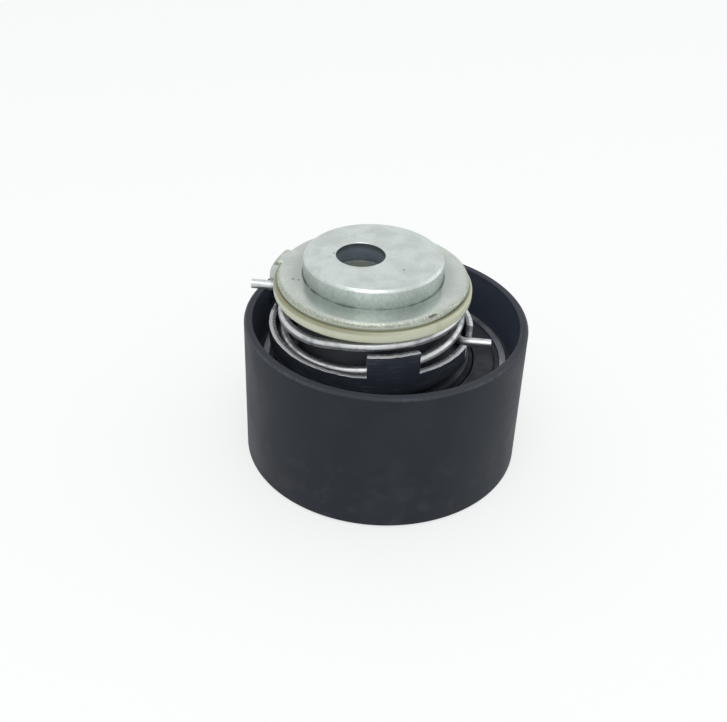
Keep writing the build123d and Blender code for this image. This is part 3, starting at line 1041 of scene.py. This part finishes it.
@dataclass
class Drum:
    """The pulley that the belt runs on, with the bearing's seat inside.

    Attributes:
        rim_wall: thickness of the rim.
        rim_chamfer: chamfer on the outside of each rim.
        inner_chamfer: chamfer on the inside of each rim.
        lip_width: width of the lip under the bearing.
        lip_height: how far the lip stands in over the bearing.
        seat_play: how far the seat reaches past the bearing.
        taper: height of the slow taper from the bore down to the seat.
        edge_rounding: rounding of the chamfers' corners.
        step: angle between two copies of the outline.
    """

    rim_wall: float = 1.8
    rim_chamfer: float = 0.5
    inner_chamfer: float = 0.2
    lip_width: float = 1.2
    lip_height: float = 1.1
    seat_play: float = 0.1
    taper: float = 8.0
    edge_rounding: float = 0.18
    step: float = 1.875

    def build(self, finish: Finish) -> None:
        """Make the drum from its half section.

        Args:
            finish: finish of the drum.
        """
        low, high = node_span("pulley")
        race_low, race_high = node_span("bearing_outer_ring")
        radius, seat = high.x, race_high.x
        bore = radius - self.rim_wall
        top, bottom = high.z, low.z
        lip = seat - self.lip_height
        soft, fine = self.edge_rounding, self.edge_rounding / 2
        corners = [
            Corner(bore + self.inner_chamfer, bottom, fine),
            Corner(radius - self.rim_chamfer, bottom, soft),
            Corner(radius, bottom + self.rim_chamfer, soft),
            Corner(radius, top - self.rim_chamfer, soft),
            Corner(radius - self.rim_chamfer, top, soft),
            Corner(bore + self.inner_chamfer, top, fine),
            Corner(bore, top - self.inner_chamfer, fine),
            Corner(bore, race_high.z + self.taper, soft),
            Corner(seat, race_high.z + self.seat_play),
            Corner(seat, race_low.z),
            Corner(lip, race_low.z, fine),
            Corner(lip, race_low.z - self.lip_width, soft),
            Corner(bore, race_low.z - self.lip_width, soft),
            Corner(bore, bottom + self.inner_chamfer, fine),
        ]
        shape = Shape()
        shape.draw_outline(corners)
        shape.spin((0.0, 0.0), FULL_TURN, self.step)
        shape.close()
        drum = shape.finish("pulley_drum", finish)
        place_piece(drum, Body.DRUM, "black_steel", "pulley")


@dataclass
class SpringCup:
    """The pressed cup that holds the spring, with its tab and its notch.

    Attributes:
        axis: place of the arm's axis.
        hole_radius: radius of the hole that sits on the arm.
        sheet: thickness of the sheet.
        bend: outer radius of the bend between floor and wall.
        bend_steps: number of runs in the bend.
        wall_height: height of the wall.
        tab_start: angle where the tab starts.
        tab_span: angle that the tab takes.
        notch_start: angle where the notch starts.
        notch_span: angle that the notch takes.
        notch_dip: how far round the bend the notch reaches, as an angle.
        raggedness: how far the sheared edge wanders.
        rag_size: length of a wave of that edge.
        rag_room: how much lower the edge is drawn, so that its waves keep below the tab's height.
        rag_seed: seed of its waves, so that they are the same in every run.
        long_edge: upright edges longer than this are cut, so that they can wander.
        edge_cuts: number of cuts in such an edge.
        edge_width: width of the rounding along the edges.
        step: angle between two copies of the outline.
    """

    axis: Axis
    hole_radius: float = 15.42
    sheet: float = 1.4
    bend: float = 2.6
    bend_steps: int = 6
    wall_height: float = 6.0
    tab_start: float = 269.6
    tab_span: float = 29.1
    notch_start: float = -22.2
    notch_span: float = 21.7
    notch_dip: float = 20.0
    raggedness: float = 0.14
    rag_size: float = 1.1
    rag_room: float = 0.1
    rag_seed: int = 7
    long_edge: float = 2.0
    edge_cuts: int = 4
    edge_width: float = 0.12
    step: float = 1.6

    def is_cut_away(self, face: bmesh.types.BMFace, wall_top: float, floor: float) -> bool:
        """Tell whether a face lies where the sheet was cut away.

        Args:
            face: face of the spun sheet.
            wall_top: height of the plain wall.
            floor: height that the notch reaches down to.

        Returns:
            True in the notch, and above the wall outside the tab.
        """
        place = face.calc_center_median()
        angle = polar(place, self.axis)[1]
        in_tab = self.tab_start < angle < self.tab_start + self.tab_span
        in_notch = (angle - self.notch_start) % 360.0 < self.notch_span
        return (place.z > wall_top and not in_tab) or (place.z > floor and in_notch)

    def tear_edge(self, mesh: bmesh.types.BMesh, radius: float) -> None:
        """Let the sheared edge of the wall wander a little within the wall.

        Args:
            mesh: the sheet.
            radius: radius of the wall.
        """
        noise.seed_set(self.rag_seed)
        centre = Vector((*self.axis, 0.0))
        for vert in mesh.verts:
            if vert.is_boundary and polar(vert.co, self.axis)[0] > radius - SAME_PLACE:
                arm = vert.co - centre
                arm += noise.noise_vector(vert.co / self.rag_size) * self.raggedness
                flat = Vector((arm.x, arm.y, 0.0)).normalized() * radius
                vert.co = centre + flat + Vector((0.0, 0.0, arm.z))

    def build(self, skin: Finish, edge: Finish) -> None:
        """Make the cup: a spun sheet, cut to its notch and tab, then given its thickness.

        Args:
            skin: finish of the sheet.
            edge: finish of the sheared edges.
        """
        low, high = node_span("spring_cup")
        radius = self.axis[0] - low.x
        wall_top = low.z + self.wall_height
        tab_top = high.z - self.rag_room
        notch_floor = low.z + self.bend * (1 - math.cos(math.radians(self.notch_dip)))
        corners = [
            Corner(self.hole_radius, low.z),
            Corner(radius, low.z, self.bend),
            Corner(radius, wall_top - self.rag_room),
            Corner(radius, tab_top),
            Corner(self.hole_radius, tab_top),
        ]
        shape = Shape()
        shape.draw_outline(corners, self.bend_steps)
        shape.remove_points(self.hole_radius, tab_top)
        bounds = (
            self.notch_start,
            self.notch_start + self.notch_span,
            self.tab_start,
            self.tab_start + self.tab_span,
            self.notch_start + 360.0,
        )
        shape.spin(self.axis, bounds, self.step)
        shape.close()
        gone = [face for face in shape.mesh.faces if self.is_cut_away(face, wall_top, notch_floor)]
        bmesh.ops.delete(shape.mesh, geom=gone, context="FACES")
        rises = [abs(line.verts[0].co.z - line.verts[1].co.z) for line in shape.mesh.edges]
        tall = [line for line, rise in zip(shape.mesh.edges, rises) if rise > self.long_edge]
        bmesh.ops.subdivide_edges(shape.mesh, edges=tall, cuts=self.edge_cuts, use_grid_fill=True)
        self.tear_edge(shape.mesh, radius)
        shape.point_outwards(self.axis, radius)
        cup = shape.finish("pressed_spring_cup", skin, edge)
        wall = cup.modifiers.new("sheet", "SOLIDIFY")
        wall.thickness = self.sheet * MM
        wall.offset = -1.0
        wall.use_even_offset = True
        wall.material_offset_rim = 1
        soften_edges(cup, self.edge_width)
        place_piece(cup, Body.ARM, "black_sheet", "spring_cup")


@dataclass
class TorsionSpring:
    """The round-wire spring between the cup and the base plate's lug.

    Attributes:
        axis: place of the arm's axis.
        wire: diameter of the wire.
        wire_steps: how finely its round section is drawn, as a curve's bevel resolution.
        lower_radius: radius of the coil at the cup.
        upper_radius: radius of the coil at the friction washer.
        lower_height: height of the wire's middle in the cup.
        upper_height: height of the wire's middle under the friction washer.
        lower_leg: angle of the leg that goes out through the cup's notch.
        upper_leg: angle of the leg that lies against the lug.
        turns: whole turns from the lower leg's angle to the upper one's.
        reach: how far the legs reach out.
        bend: radius of the bend between a leg and the coil.
        rise_shares: share of the rise that is done at some angles.
        step: angle between two points of the coil.
        bend_steps: number of runs in a bend.
        blend_share: part of the rise, at each end, that turns with one body only; it is not used.
    """

    axis: Axis
    wire: float = 2.0
    wire_steps: int = 6
    lower_radius: float = 18.4
    upper_radius: float = 18.95
    lower_height: float = 27.8
    upper_height: float = 37.45
    lower_leg: float = -3.6
    upper_leg: float = 174.9
    turns: int = 2
    reach: float = 25.65
    bend: float = 2.0
    rise_shares: tuple[tuple[float, float], ...] = (
        (240.0, 0.225),
        (300.0, 0.445),
        (360.0, 0.56),
        (540.0, 0.62),
        (590.0, 0.745),
        (615.0, 0.895),
        (650.0, 0.968),
    )
    step: float = 2.5
    bend_steps: int = 8
    blend_share: float = 0.1

    def point(self, radius: float, angle: float, height: float) -> Vector:
        """Point at a radius, angle and height about the arm's axis."""
        x, y = math.cos(math.radians(angle)), math.sin(math.radians(angle))
        return Vector((self.axis[0] + radius * x, self.axis[1] + radius * y, height))

    def coil_height(self, angle: float, knots: Sequence[tuple[float, float]]) -> float:
        """Height of the wire at an angle, on a smooth curve through the knots.

        Args:
            angle: angle along the coil.
            knots: angles and heights that the curve goes through, in order.

        Returns:
            The height.
        """
        slopes = [(b[1] - a[1]) / (b[0] - a[0]) for a, b in zip(knots, knots[1:])]
        means = [2 * a * b / (a + b) for a, b in zip(slopes, slopes[1:])]
        tangents = [0.0, *means, 0.0]
        number = max(n for n, knot in enumerate(knots[:-1]) if angle >= knot[0] or n == 0)
        low, high = knots[number], knots[number + 1]
        length = high[0] - low[0]
        t = (angle - low[0]) / length
        rise = (3 * t**2 - 2 * t**3) * (high[1] - low[1])
        leave = (t**3 - 2 * t**2 + t) * length * tangents[number]
        arrive = (t**3 - t**2) * length * tangents[number + 1]
        return low[1] + rise + leave + arrive

    def bend_points(
        self, radius: float, leg: float, side: int, height: float
    ) -> tuple[list[Vector], float]:
        """Points of the bend from a leg to the coil.

        Args:
            radius: radius of the coil.
            leg: angle of the leg.
            side: 1 where the coil goes on to higher angles, -1 to lower ones.
            height: height of the bend.

        Returns:
            The points, from the leg to the coil, and the angle where the coil starts.
        """
        centre_radius = radius + self.bend
        lean = side * math.degrees(math.asin(self.bend / centre_radius))
        centre = self.point(centre_radius, leg + lean, height)
        at_leg = self.point(centre_radius * math.cos(math.radians(lean)), leg, height) - centre
        at_coil = self.point(radius, leg + lean, height) - centre
        sweep = at_leg.xy.angle_signed(at_coil.xy)
        shares = [number / self.bend_steps for number in range(self.bend_steps + 1)]
        turns = [Matrix.Rotation(-sweep * share, 3, "Z") for share in shares]
        return [centre + turn @ at_leg for turn in turns], leg + lean

    def path(self) -> list[Vector]:
        """Work out the points of the wire's middle from one tip to the other.

        Returns:
            The points.
        """
        low, high = self.lower_height, self.upper_height
        last_leg = self.upper_leg + 360.0 * self.turns
        first_bend, first = self.bend_points(self.lower_radius, self.lower_leg, 1, low)
        last_bend, last = self.bend_points(self.upper_radius, last_leg, -1, high)
        knots = [(angle, low + share * (high - low)) for angle, share in self.rise_shares]
        knots = [(first, low), *knots, (last, high)]
        steps = round((last - first) / self.step)
        coil = []
        for number in range(1, steps):
            share = number / steps
            angle = first + share * (last - first)
            radius = self.lower_radius + share * (self.upper_radius - self.lower_radius)
            coil.append(self.point(radius, angle, self.coil_height(angle, knots)))
        start = self.point(self.reach, self.lower_leg, low)
        end = self.point(self.reach, self.upper_leg, high)
        return [start, *first_bend, *coil, *reversed(last_bend), end]

    def build(self, finish: Finish) -> None:
        """Make the spring as a tube along its path, between arm and base.

        Args:
            finish: finish of the wire.
        """
        curve = bpy.data.curves.new("wire_path", "CURVE")
        curve.dimensions = "3D"
        curve.bevel_depth = self.wire / 2 * MM
        curve.bevel_resolution = self.wire_steps
        curve.use_fill_caps = True
        points = self.path()
        spline = curve.splines.new("POLY")
        spline.points.add(len(points) - 1)
        for target, place in zip(spline.points, points):
            target.co = (*(place * MM), 1.0)
        holder = add_object("wire_path", curve)
        graph = bpy.context.evaluated_depsgraph_get()
        mesh = bpy.data.meshes.new_from_object(holder.evaluated_get(graph))
        bpy.data.objects.remove(holder)
        mesh.name = "wound_spring_wire"
        mesh.materials.clear()
        mesh.materials.append(finish.build())
        mesh.shade_smooth()
        mesh.set_sharp_from_angle(angle=math.radians(EDGE_ANGLE))
        spring = add_object("wound_spring_wire", mesh)
        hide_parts("torsion_spring")
        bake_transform(spring)
        log.info("piece %s between arm and base: %d faces", spring.name, len(mesh.polygons))


@dataclass
class EngineMount:
    """The stack that is bolted to the engine: friction washer, base plate and mounting disc.

    Attributes:
        axis: place of the arm's axis.
        bolt: place of the bolt's axis.
        washer_hole: radius of the friction washer's hole.
        washer_edge: rounding of the friction washer's rim.
        plate_hole: radius of the base plate's hole.
        plate_step: how far the plate stands back from the washer's rim.
        plate_edge: rounding of the plate's upper edge.
        lug_clearance: gap between the washer's rim and the lug.
        lug_inner_bend: inner radius of the bend above the lug.
        lug_steps: number of runs in that bend.
        lug_lean: how much further out the lug stands at its foot than at its bend.
        lug_end: angle where the lug ends, at the spring's leg.
        lug_span: angle that the lug takes.
        lug_edge: rounding of the lug's edges.
        bolt_hole: radius of the bolt's hole in the disc.
        disc_chamfer: chamfer on the disc's upper edge.
        disc_edge: rounding of that chamfer's corners.
        hole_edge: rounding of the upper edge of its hole.
        step: angle between two copies of an outline.
    """

    axis: Axis
    bolt: Axis
    washer_hole: float = 9.3
    washer_edge: float = 0.8
    plate_hole: float = 9.05
    plate_step: float = 0.75
    plate_edge: float = 0.9
    lug_clearance: float = 0.2
    lug_inner_bend: float = 1.6
    lug_steps: int = 8
    lug_lean: float = 0.5
    lug_end: float = 171.9
    lug_span: float = 16.4
    lug_edge: float = 0.2
    bolt_hole: float = 5.05
    disc_chamfer: float = 0.55
    disc_edge: float = 0.12
    hole_edge: float = 0.3
    step: float = 2.0

    def build_washer(self, finish: Finish) -> None:
        """Make the friction washer, a flat ring with a rounded rim.

        Args:
            finish: finish of the washer.
        """
        low, high = node_span("friction_washer")
        radius = (high.x - low.x) / 2
        corners = [
            Corner(self.washer_hole, low.z),
            Corner(radius, low.z, self.washer_edge),
            Corner(radius, high.z, self.washer_edge),
            Corner(self.washer_hole, high.z),
        ]
        shape = Shape()
        shape.draw_outline(corners)
        shape.spin(self.axis, FULL_TURN, self.step)
        shape.close()
        washer = shape.finish("nylon_friction_washer", finish)
        place_piece(washer, Body.BASE, "cream_nylon", "friction_washer")

    def build_plate(self, finish: Finish) -> None:
        """Make the base plate: a spun sheet cut to a plate and a lug, then given its thickness.

        Args:
            finish: finish of the plate.
        """
        washer_low, washer_high = node_span("friction_washer")
        low, high = node_span("base_plate")
        thickness = high.z - washer_high.z
        washer_radius = (washer_high.x - washer_low.x) / 2
        radius = washer_radius - self.plate_step
        reach = washer_radius + self.lug_clearance + thickness
        corners = [
            Corner(self.plate_hole, high.z),
            Corner(radius, high.z),
            Corner(reach - self.lug_lean, high.z, self.lug_inner_bend + thickness),
            Corner(reach, low.z),
            Corner(self.plate_hole, low.z),
        ]
        shape = Shape()
        shape.draw_outline(corners, self.lug_steps)
        shape.remove_points(self.plate_hole, low.z)
        lug_start = self.lug_end - self.lug_span
        shape.spin(self.axis, (lug_start, self.lug_end, lug_start + 360.0), self.step)
        shape.close()
        gone = []
        for face in shape.mesh.faces:
            distance, angle = polar(face.calc_center_median(), self.axis)
            if distance > radius and not lug_start < angle < self.lug_end:
                gone.append(face)
        bmesh.ops.delete(shape.mesh, geom=gone, context="FACES")
        shape.point_outwards(self.axis, reach)
        bmesh.ops.solidify(shape.mesh, geom=shape.mesh.faces[:], thickness=thickness)
        shape.close()
        shape.bevel_rim(Ring(self.axis, radius, high.z), self.plate_edge)
        plate = shape.finish("bent_base_plate", finish)
        soften_edges(plate, self.lug_edge)
        place_piece(plate, Body.BASE, "zinc_plate", "base_plate")

    def build_disc(self, finish: Finish) -> None:
        """Make the mounting disc, whose bolt hole lies off its axis.

        Args:
            finish: finish of the disc.
        """
        low, high = node_span("mounting_disc")
        radius = (high.x - low.x) / 2
        shoulder = Ring(self.axis, radius, high.z - self.disc_chamfer)
        rim = Ring(self.axis, radius - self.disc_chamfer, high.z)
        mouth = Ring(self.bolt, self.bolt_hole, high.z)
        foot = Ring(self.bolt, self.bolt_hole, low.z)
        shape = Shape()
        shape.loft([Ring(self.axis, radius, low.z), shoulder, rim, mouth, foot])
        shape.close()
        shape.bevel_rim(shoulder, self.disc_edge)
        shape.bevel_rim(rim, self.disc_edge)
        shape.bevel_rim(mouth, self.hole_edge)
        disc = shape.finish("drilled_mounting_disc", finish, edge_angle=EDGE_ANGLE)
        place_piece(disc, Body.BASE, "zinc_disc", "mounting_disc")


@dataclass
class Studio:
    """Pale floor, an even sky, a large lamp above the camera and a weaker, low one at the right.

    Attributes:
        floor_size: length of the floor's sides.
        floor_colour: sRGB hex of the floor.
        floor_roughness: how widely it spreads a highlight.
        floor_gloss: level of its reflection.
        floor_glow: share of plain white in the floor as it is seen, which leaves the shadow faint.
        sky_level: strength of the sky's light.
        lamp_size: length of a lamp's sides.
        lamp_distance: distance of a lamp from the object.
    """

    floor_size: float = 6000.0
    floor_colour: str = "#F6FAFA"
    floor_roughness: float = 0.75
    floor_gloss: float = 0.2
    floor_glow: float = 0.64
    sky_level: float = 0.8
    lamp_size: float = 450.0
    lamp_distance: float = 700.0

    def build_floor(self) -> None:
        """Make the floor, a large matte sheet."""
        mesh = bmesh.new()
        bmesh.ops.create_grid(mesh, x_segments=1, y_segments=1, size=self.floor_size / 2 * MM)
        data = bpy.data.meshes.new("pale_floor")
        mesh.to_mesh(data)
        mesh.free()
        skin = Skin("matte_white_board", self.floor_colour, self.floor_roughness, 0.0)
        skin.shader.inputs["Specular IOR Level"].default_value = self.floor_gloss
        seen = add_seen(skin.tree)
        share = skin.add("Math", {0: seen, 1: self.floor_glow}, operation="MULTIPLY").outputs[0]
        white = skin.add("Emission", {"Color": linear("#FFFFFF"), "Strength": 1.0})
        both = skin.add("MixShader", {0: share, 1: skin.shader.outputs[0], 2: white.outputs[0]})
        skin.tree.links.new(both.outputs[0], skin.tree.nodes["Material Output"].inputs["Surface"])
        data.materials.append(skin.material)
        floor = add_object("pale_floor", data)

    def build_sky(self) -> None:
        """Make the sky: even light, seen as plain white by the camera and in reflections."""
        world = bpy.data.worlds.new("studio_sky")
        world.use_nodes = True
        tree = world.node_tree
        tree.nodes.clear()
        white = linear("#FFFFFF")
        seen = add_seen(tree)
        light = add_node(tree, "Background", {"Strength": self.sky_level, "Color": white})
        plain = add_node(tree, "Background", {"Strength": 1.0, "Color": white})
        both = add_node(tree, "MixShader", {0: seen, 1: light.outputs[0], 2: plain.outputs[0]})
        add_node(tree, "OutputWorld", {"Surface": both.outputs[0]})
        bpy.context.scene.world = world

    def build_lamp(self, name: str, azimuth: float, elevation: float, watts: float) -> None:
        """Make a lamp, turned towards the object.

        Args:
            name: name of the lamp.
            azimuth: angle about the object, 0 behind the camera and 90 at the right.
            elevation: angle above the floor.
            watts: power.
        """
        light = bpy.data.lights.new(name, "AREA")
        light.shape = "SQUARE"
        light.size = self.lamp_size * MM
        light.energy = watts
        turn, lift = math.radians(azimuth), math.radians(elevation)
        level = math.cos(lift)
        way = Vector((math.sin(turn) * level, -math.cos(turn) * level, math.sin(lift)))
        lamp = add_object(name, light)
        lamp.location = way * self.lamp_distance * MM
        lamp.rotation_mode = "QUATERNION"
        lamp.rotation_quaternion = (-way).to_track_quat("-Z", "Y")


@dataclass
class PhotoCamera:
    """The camera where the photograph was taken from.

    Attributes:
        distance: distance from the middle of the drum's upper rim.
        elevation: angle of the camera above the floor.
        roll: angle that the picture is turned by.
        pan: how far the view is turned sideways from the rim's middle, as a slope.
        tilt: how far it is turned upwards, as a slope.
        focal_pixels: focal length in pixels of the photograph.
        frame_width: width of the photograph in pixels.
        sensor: width of the camera's sensor.
        nearest: distance from which on things are drawn.
    """

    distance: float = 228.5
    elevation: float = 31.8
    roll: float = 2.191
    pan: float = -0.019
    tilt: float = -0.043
    focal_pixels: float = 1079.5
    frame_width: float = 727.0
    sensor: float = 36.0
    nearest: float = 10.0

    def build(self, aim_height: float) -> None:
        """Make the camera and let the scene use it.

        Args:
            aim_height: height of the drum's upper rim.
        """
        lift = math.radians(self.elevation)
        back = Vector((0.0, -math.cos(lift), math.sin(lift)))
        across, over = Vector((1.0, 0.0, 0.0)), Vector((0.0, math.sin(lift), math.cos(lift)))
        forward = (-back + self.pan * across + self.tilt * over).normalized()
        level = forward.cross(Vector((0.0, 0.0, 1.0))).normalized()
        upright = level.cross(forward)
        roll = math.radians(self.roll)
        right = math.cos(roll) * level + math.sin(roll) * upright
        up = math.cos(roll) * upright - math.sin(roll) * level
        turn = Matrix((right, up, -forward)).transposed()
        place = back * self.distance + Vector((0.0, 0.0, aim_height))
        data = bpy.data.cameras.new("photo_camera")
        data.sensor_width = self.sensor
        data.lens = self.focal_pixels / self.frame_width * self.sensor
        data.clip_start = self.nearest * MM
        camera = add_object("photo_camera", data)
        camera.matrix_world = Matrix.Translation(place * MM) @ turn.to_4x4()
        bpy.context.scene.camera = camera


def dress_hidden_pieces(axis: Axis, bolt: Axis) -> None:
    """Give every node that keeps its own mesh a finish.

    Args:
        axis: place of the arm's axis.
        bolt: place of the bolt's axis.
    """
    sleeve_top = node_span("setting_eccentric")[1].z
    race = TurnedSteel("ground_bearing_steel", "#A9ADB5", 0.4, 1.0, film="#6A6D74", cover=0.3)
    # painted shade: the inner ring is a dark copy of the bearing steel, for the shade under the cup
    shaded_race = TurnedSteel("shade_painted_bearing_steel", "#3A3C42", 0.45, 1.0, film="#2A2B30")
    ball = TurnedSteel("polished_ball_steel", "#D4D4D6", 0.1, 1.0, cover=0.1, ring_depth=0.0005)
    cage = TurnedSteel("pressed_cage_steel", "#A8A399", 0.4, 1.0, cover=0.4)
    seal = MouldedRubber("moulded_seal_rubber", "#262A32", 0.55)
    arm = StreakedSteel("phosphated_steel", "#565A62", 0.42, 0.4)
    bush = SinteredBronze("sintered_bronze", "#A88450", 0.45, 1.0)
    clip = StreakedSteel("blackened_spring_steel", "#333336", 0.4, 0.7)
    sleeve = ZincPlate(
        "zinc_plated_sleeve_steel",
        "#A9B0AE",
        0.4,
        0.6,
        # painted highlight: a bright line along the top of the bore, where the sleeve's edge
        # catches light
        rub_and_glint="#F0F2EE",
        centre=axis,
        rub_and_glint_band=(sleeve_top - 0.35, sleeve_top + 0.3),
        # painted light on the bore's wall
        painted_bore_light="#B4BCB2",
        bore=bolt,
        bore_radius=5.2,
    )
    washer = MouldedNylon("moulded_thrust_nylon", "#D2CFB8", 0.5)
    wearers = {
        race: ["bearing_outer_ring"],
        shaded_race: ["bearing_inner_ring"],
        ball: [name for name in frame["nodes"] if name.startswith("bearing_ball")],
        cage: ["cage_upper", "cage_lower", "cage_rivets"],
        seal: ["seal_upper", "seal_lower"],
        arm: ["working_eccentric"],
        bush: ["plain_bush"],
        clip: ["retaining_ring"],
        sleeve: ["setting_eccentric"],
        washer: ["thrust_washer"],
    }
    for finish, nodes in wearers.items():
        material = finish.build()
        for node in nodes:
            dress(node, material)


def main() -> None:
    """Build the scene: the drum, the arm's pieces, the mount, then floor, light and camera."""
    logging.basicConfig(level=logging.INFO, format="%(message)s")
    bpy.context.scene.view_settings.view_transform = "Standard"
    washer_low, washer_high = node_span("friction_washer")
    axis = ((washer_low.x + washer_high.x) / 2, (washer_low.y + washer_high.y) / 2)
    mounts = frame["record"]["mounts"]
    bolt_mount = next(mount for mount in mounts if mount["name"] == "bolt_hole")
    bolt = (bolt_mount["pos_m"][0] / MM, bolt_mount["pos_m"][1] / MM)
    disc_low, disc_high = node_span("mounting_disc")
    disc_radius = (disc_high.x - disc_low.x) / 2
    disc_top, plate_top, washer_top = disc_high.z, disc_low.z, washer_high.z

    Drum().build(BlackCoating("black_coated_steel", "#23272E", 0.45))
    dress_hidden_pieces(axis, bolt)
    SpringCup(axis).build(
        BlackSheet(
            "black_oxide_sheet",
            "#2D323B",
            0.28,
            # painted highlight down the notch's corner
            corners=tuple(Blot((16.85, -8.16, height), 0.8) for height in (29.3, 29.9, 30.5)),
        ),
        ShearedSteel("sheared_bare_steel", "#DADCDE", 0.42, 1.0, centre=axis),
    )
    TorsionSpring(axis).build(DrawnWire("bright_drawn_wire", "#CDD0D1", 0.34, 1.0))
    mount = EngineMount(axis, bolt)
    washer_radius = (washer_high.x - washer_low.x) / 2
    plate_radius = washer_radius - mount.plate_step
    lug_radius = washer_radius + mount.lug_clearance + plate_top - washer_top
    mount.build_washer(
        MouldedNylon(
            "moulded_cream_nylon",
            "#C9CCB6",
            0.42,
            # oil and painted shade along the top, and a painted shadow line under the plate's rim
            oil_and_shade_rise=(washer_top - 0.9, washer_top - 0.3),
            centre=axis,
            plate_rim=plate_radius,
            blots=(Blot((-9.6, -18.9, 39.6), 0.3),),
        )
    )
    dots = ((-19.3, -4.1, 0.35), (-18.1, -4.4, 0.3))
    nick = ((8.4, -15.85, 0.3), (8.75, -15.5, 0.4), (9.15, -15.15, 0.4), (9.55, -14.75, 0.3))
    plate_blots = [Blot((x, y, plate_top), radius) for x, y, radius in dots]
    plate_blots += [Blot((x, y, plate_top - 0.2), radius) for x, y, radius in nick]
    mount.build_plate(
        ZincPlate(
            "zinc_plated_sheet_steel",
            "#C9D0CA",
            0.12,
            1.0,
            rub_and_glint="#9CA191",
            centre=axis,
            radius=lug_radius,
            rub_and_glint_band=(plate_top - 0.9, plate_top - 0.02),
            # painted shade round the disc's foot
            seam=(disc_radius, plate_top),
            # oil with painted shade along the plate's lower side
            foot=(plate_radius, washer_top),
            blots=tuple(plate_blots),
        )
    )
    mount.build_disc(
        ZincPlate(
            "zinc_plated_turned_steel",
            "#CDD6D2",
            0.33,
            1.0,
            centre=axis,
            radius=disc_radius,
            # painted light on the hole's wall, and painted shade in its mouth
            bore=bolt,
            bore_shade=(disc_top - 1.9, disc_top - 0.5),
            blots=(Blot((3.05, -5.5, disc_top), 0.3), Blot((-11.3, 0.1, disc_top), 0.25)),
        )
    )
    studio = Studio()
    studio.build_floor()
    studio.build_sky()
    studio.build_lamp("soft_box", -3.0, 61.0, 1.25)
    studio.build_lamp("side_soft_box", 108.0, 14.0, 0.5)
    PhotoCamera().build(node_span("pulley")[1].z)


if __name__ == "__main__":
    main()
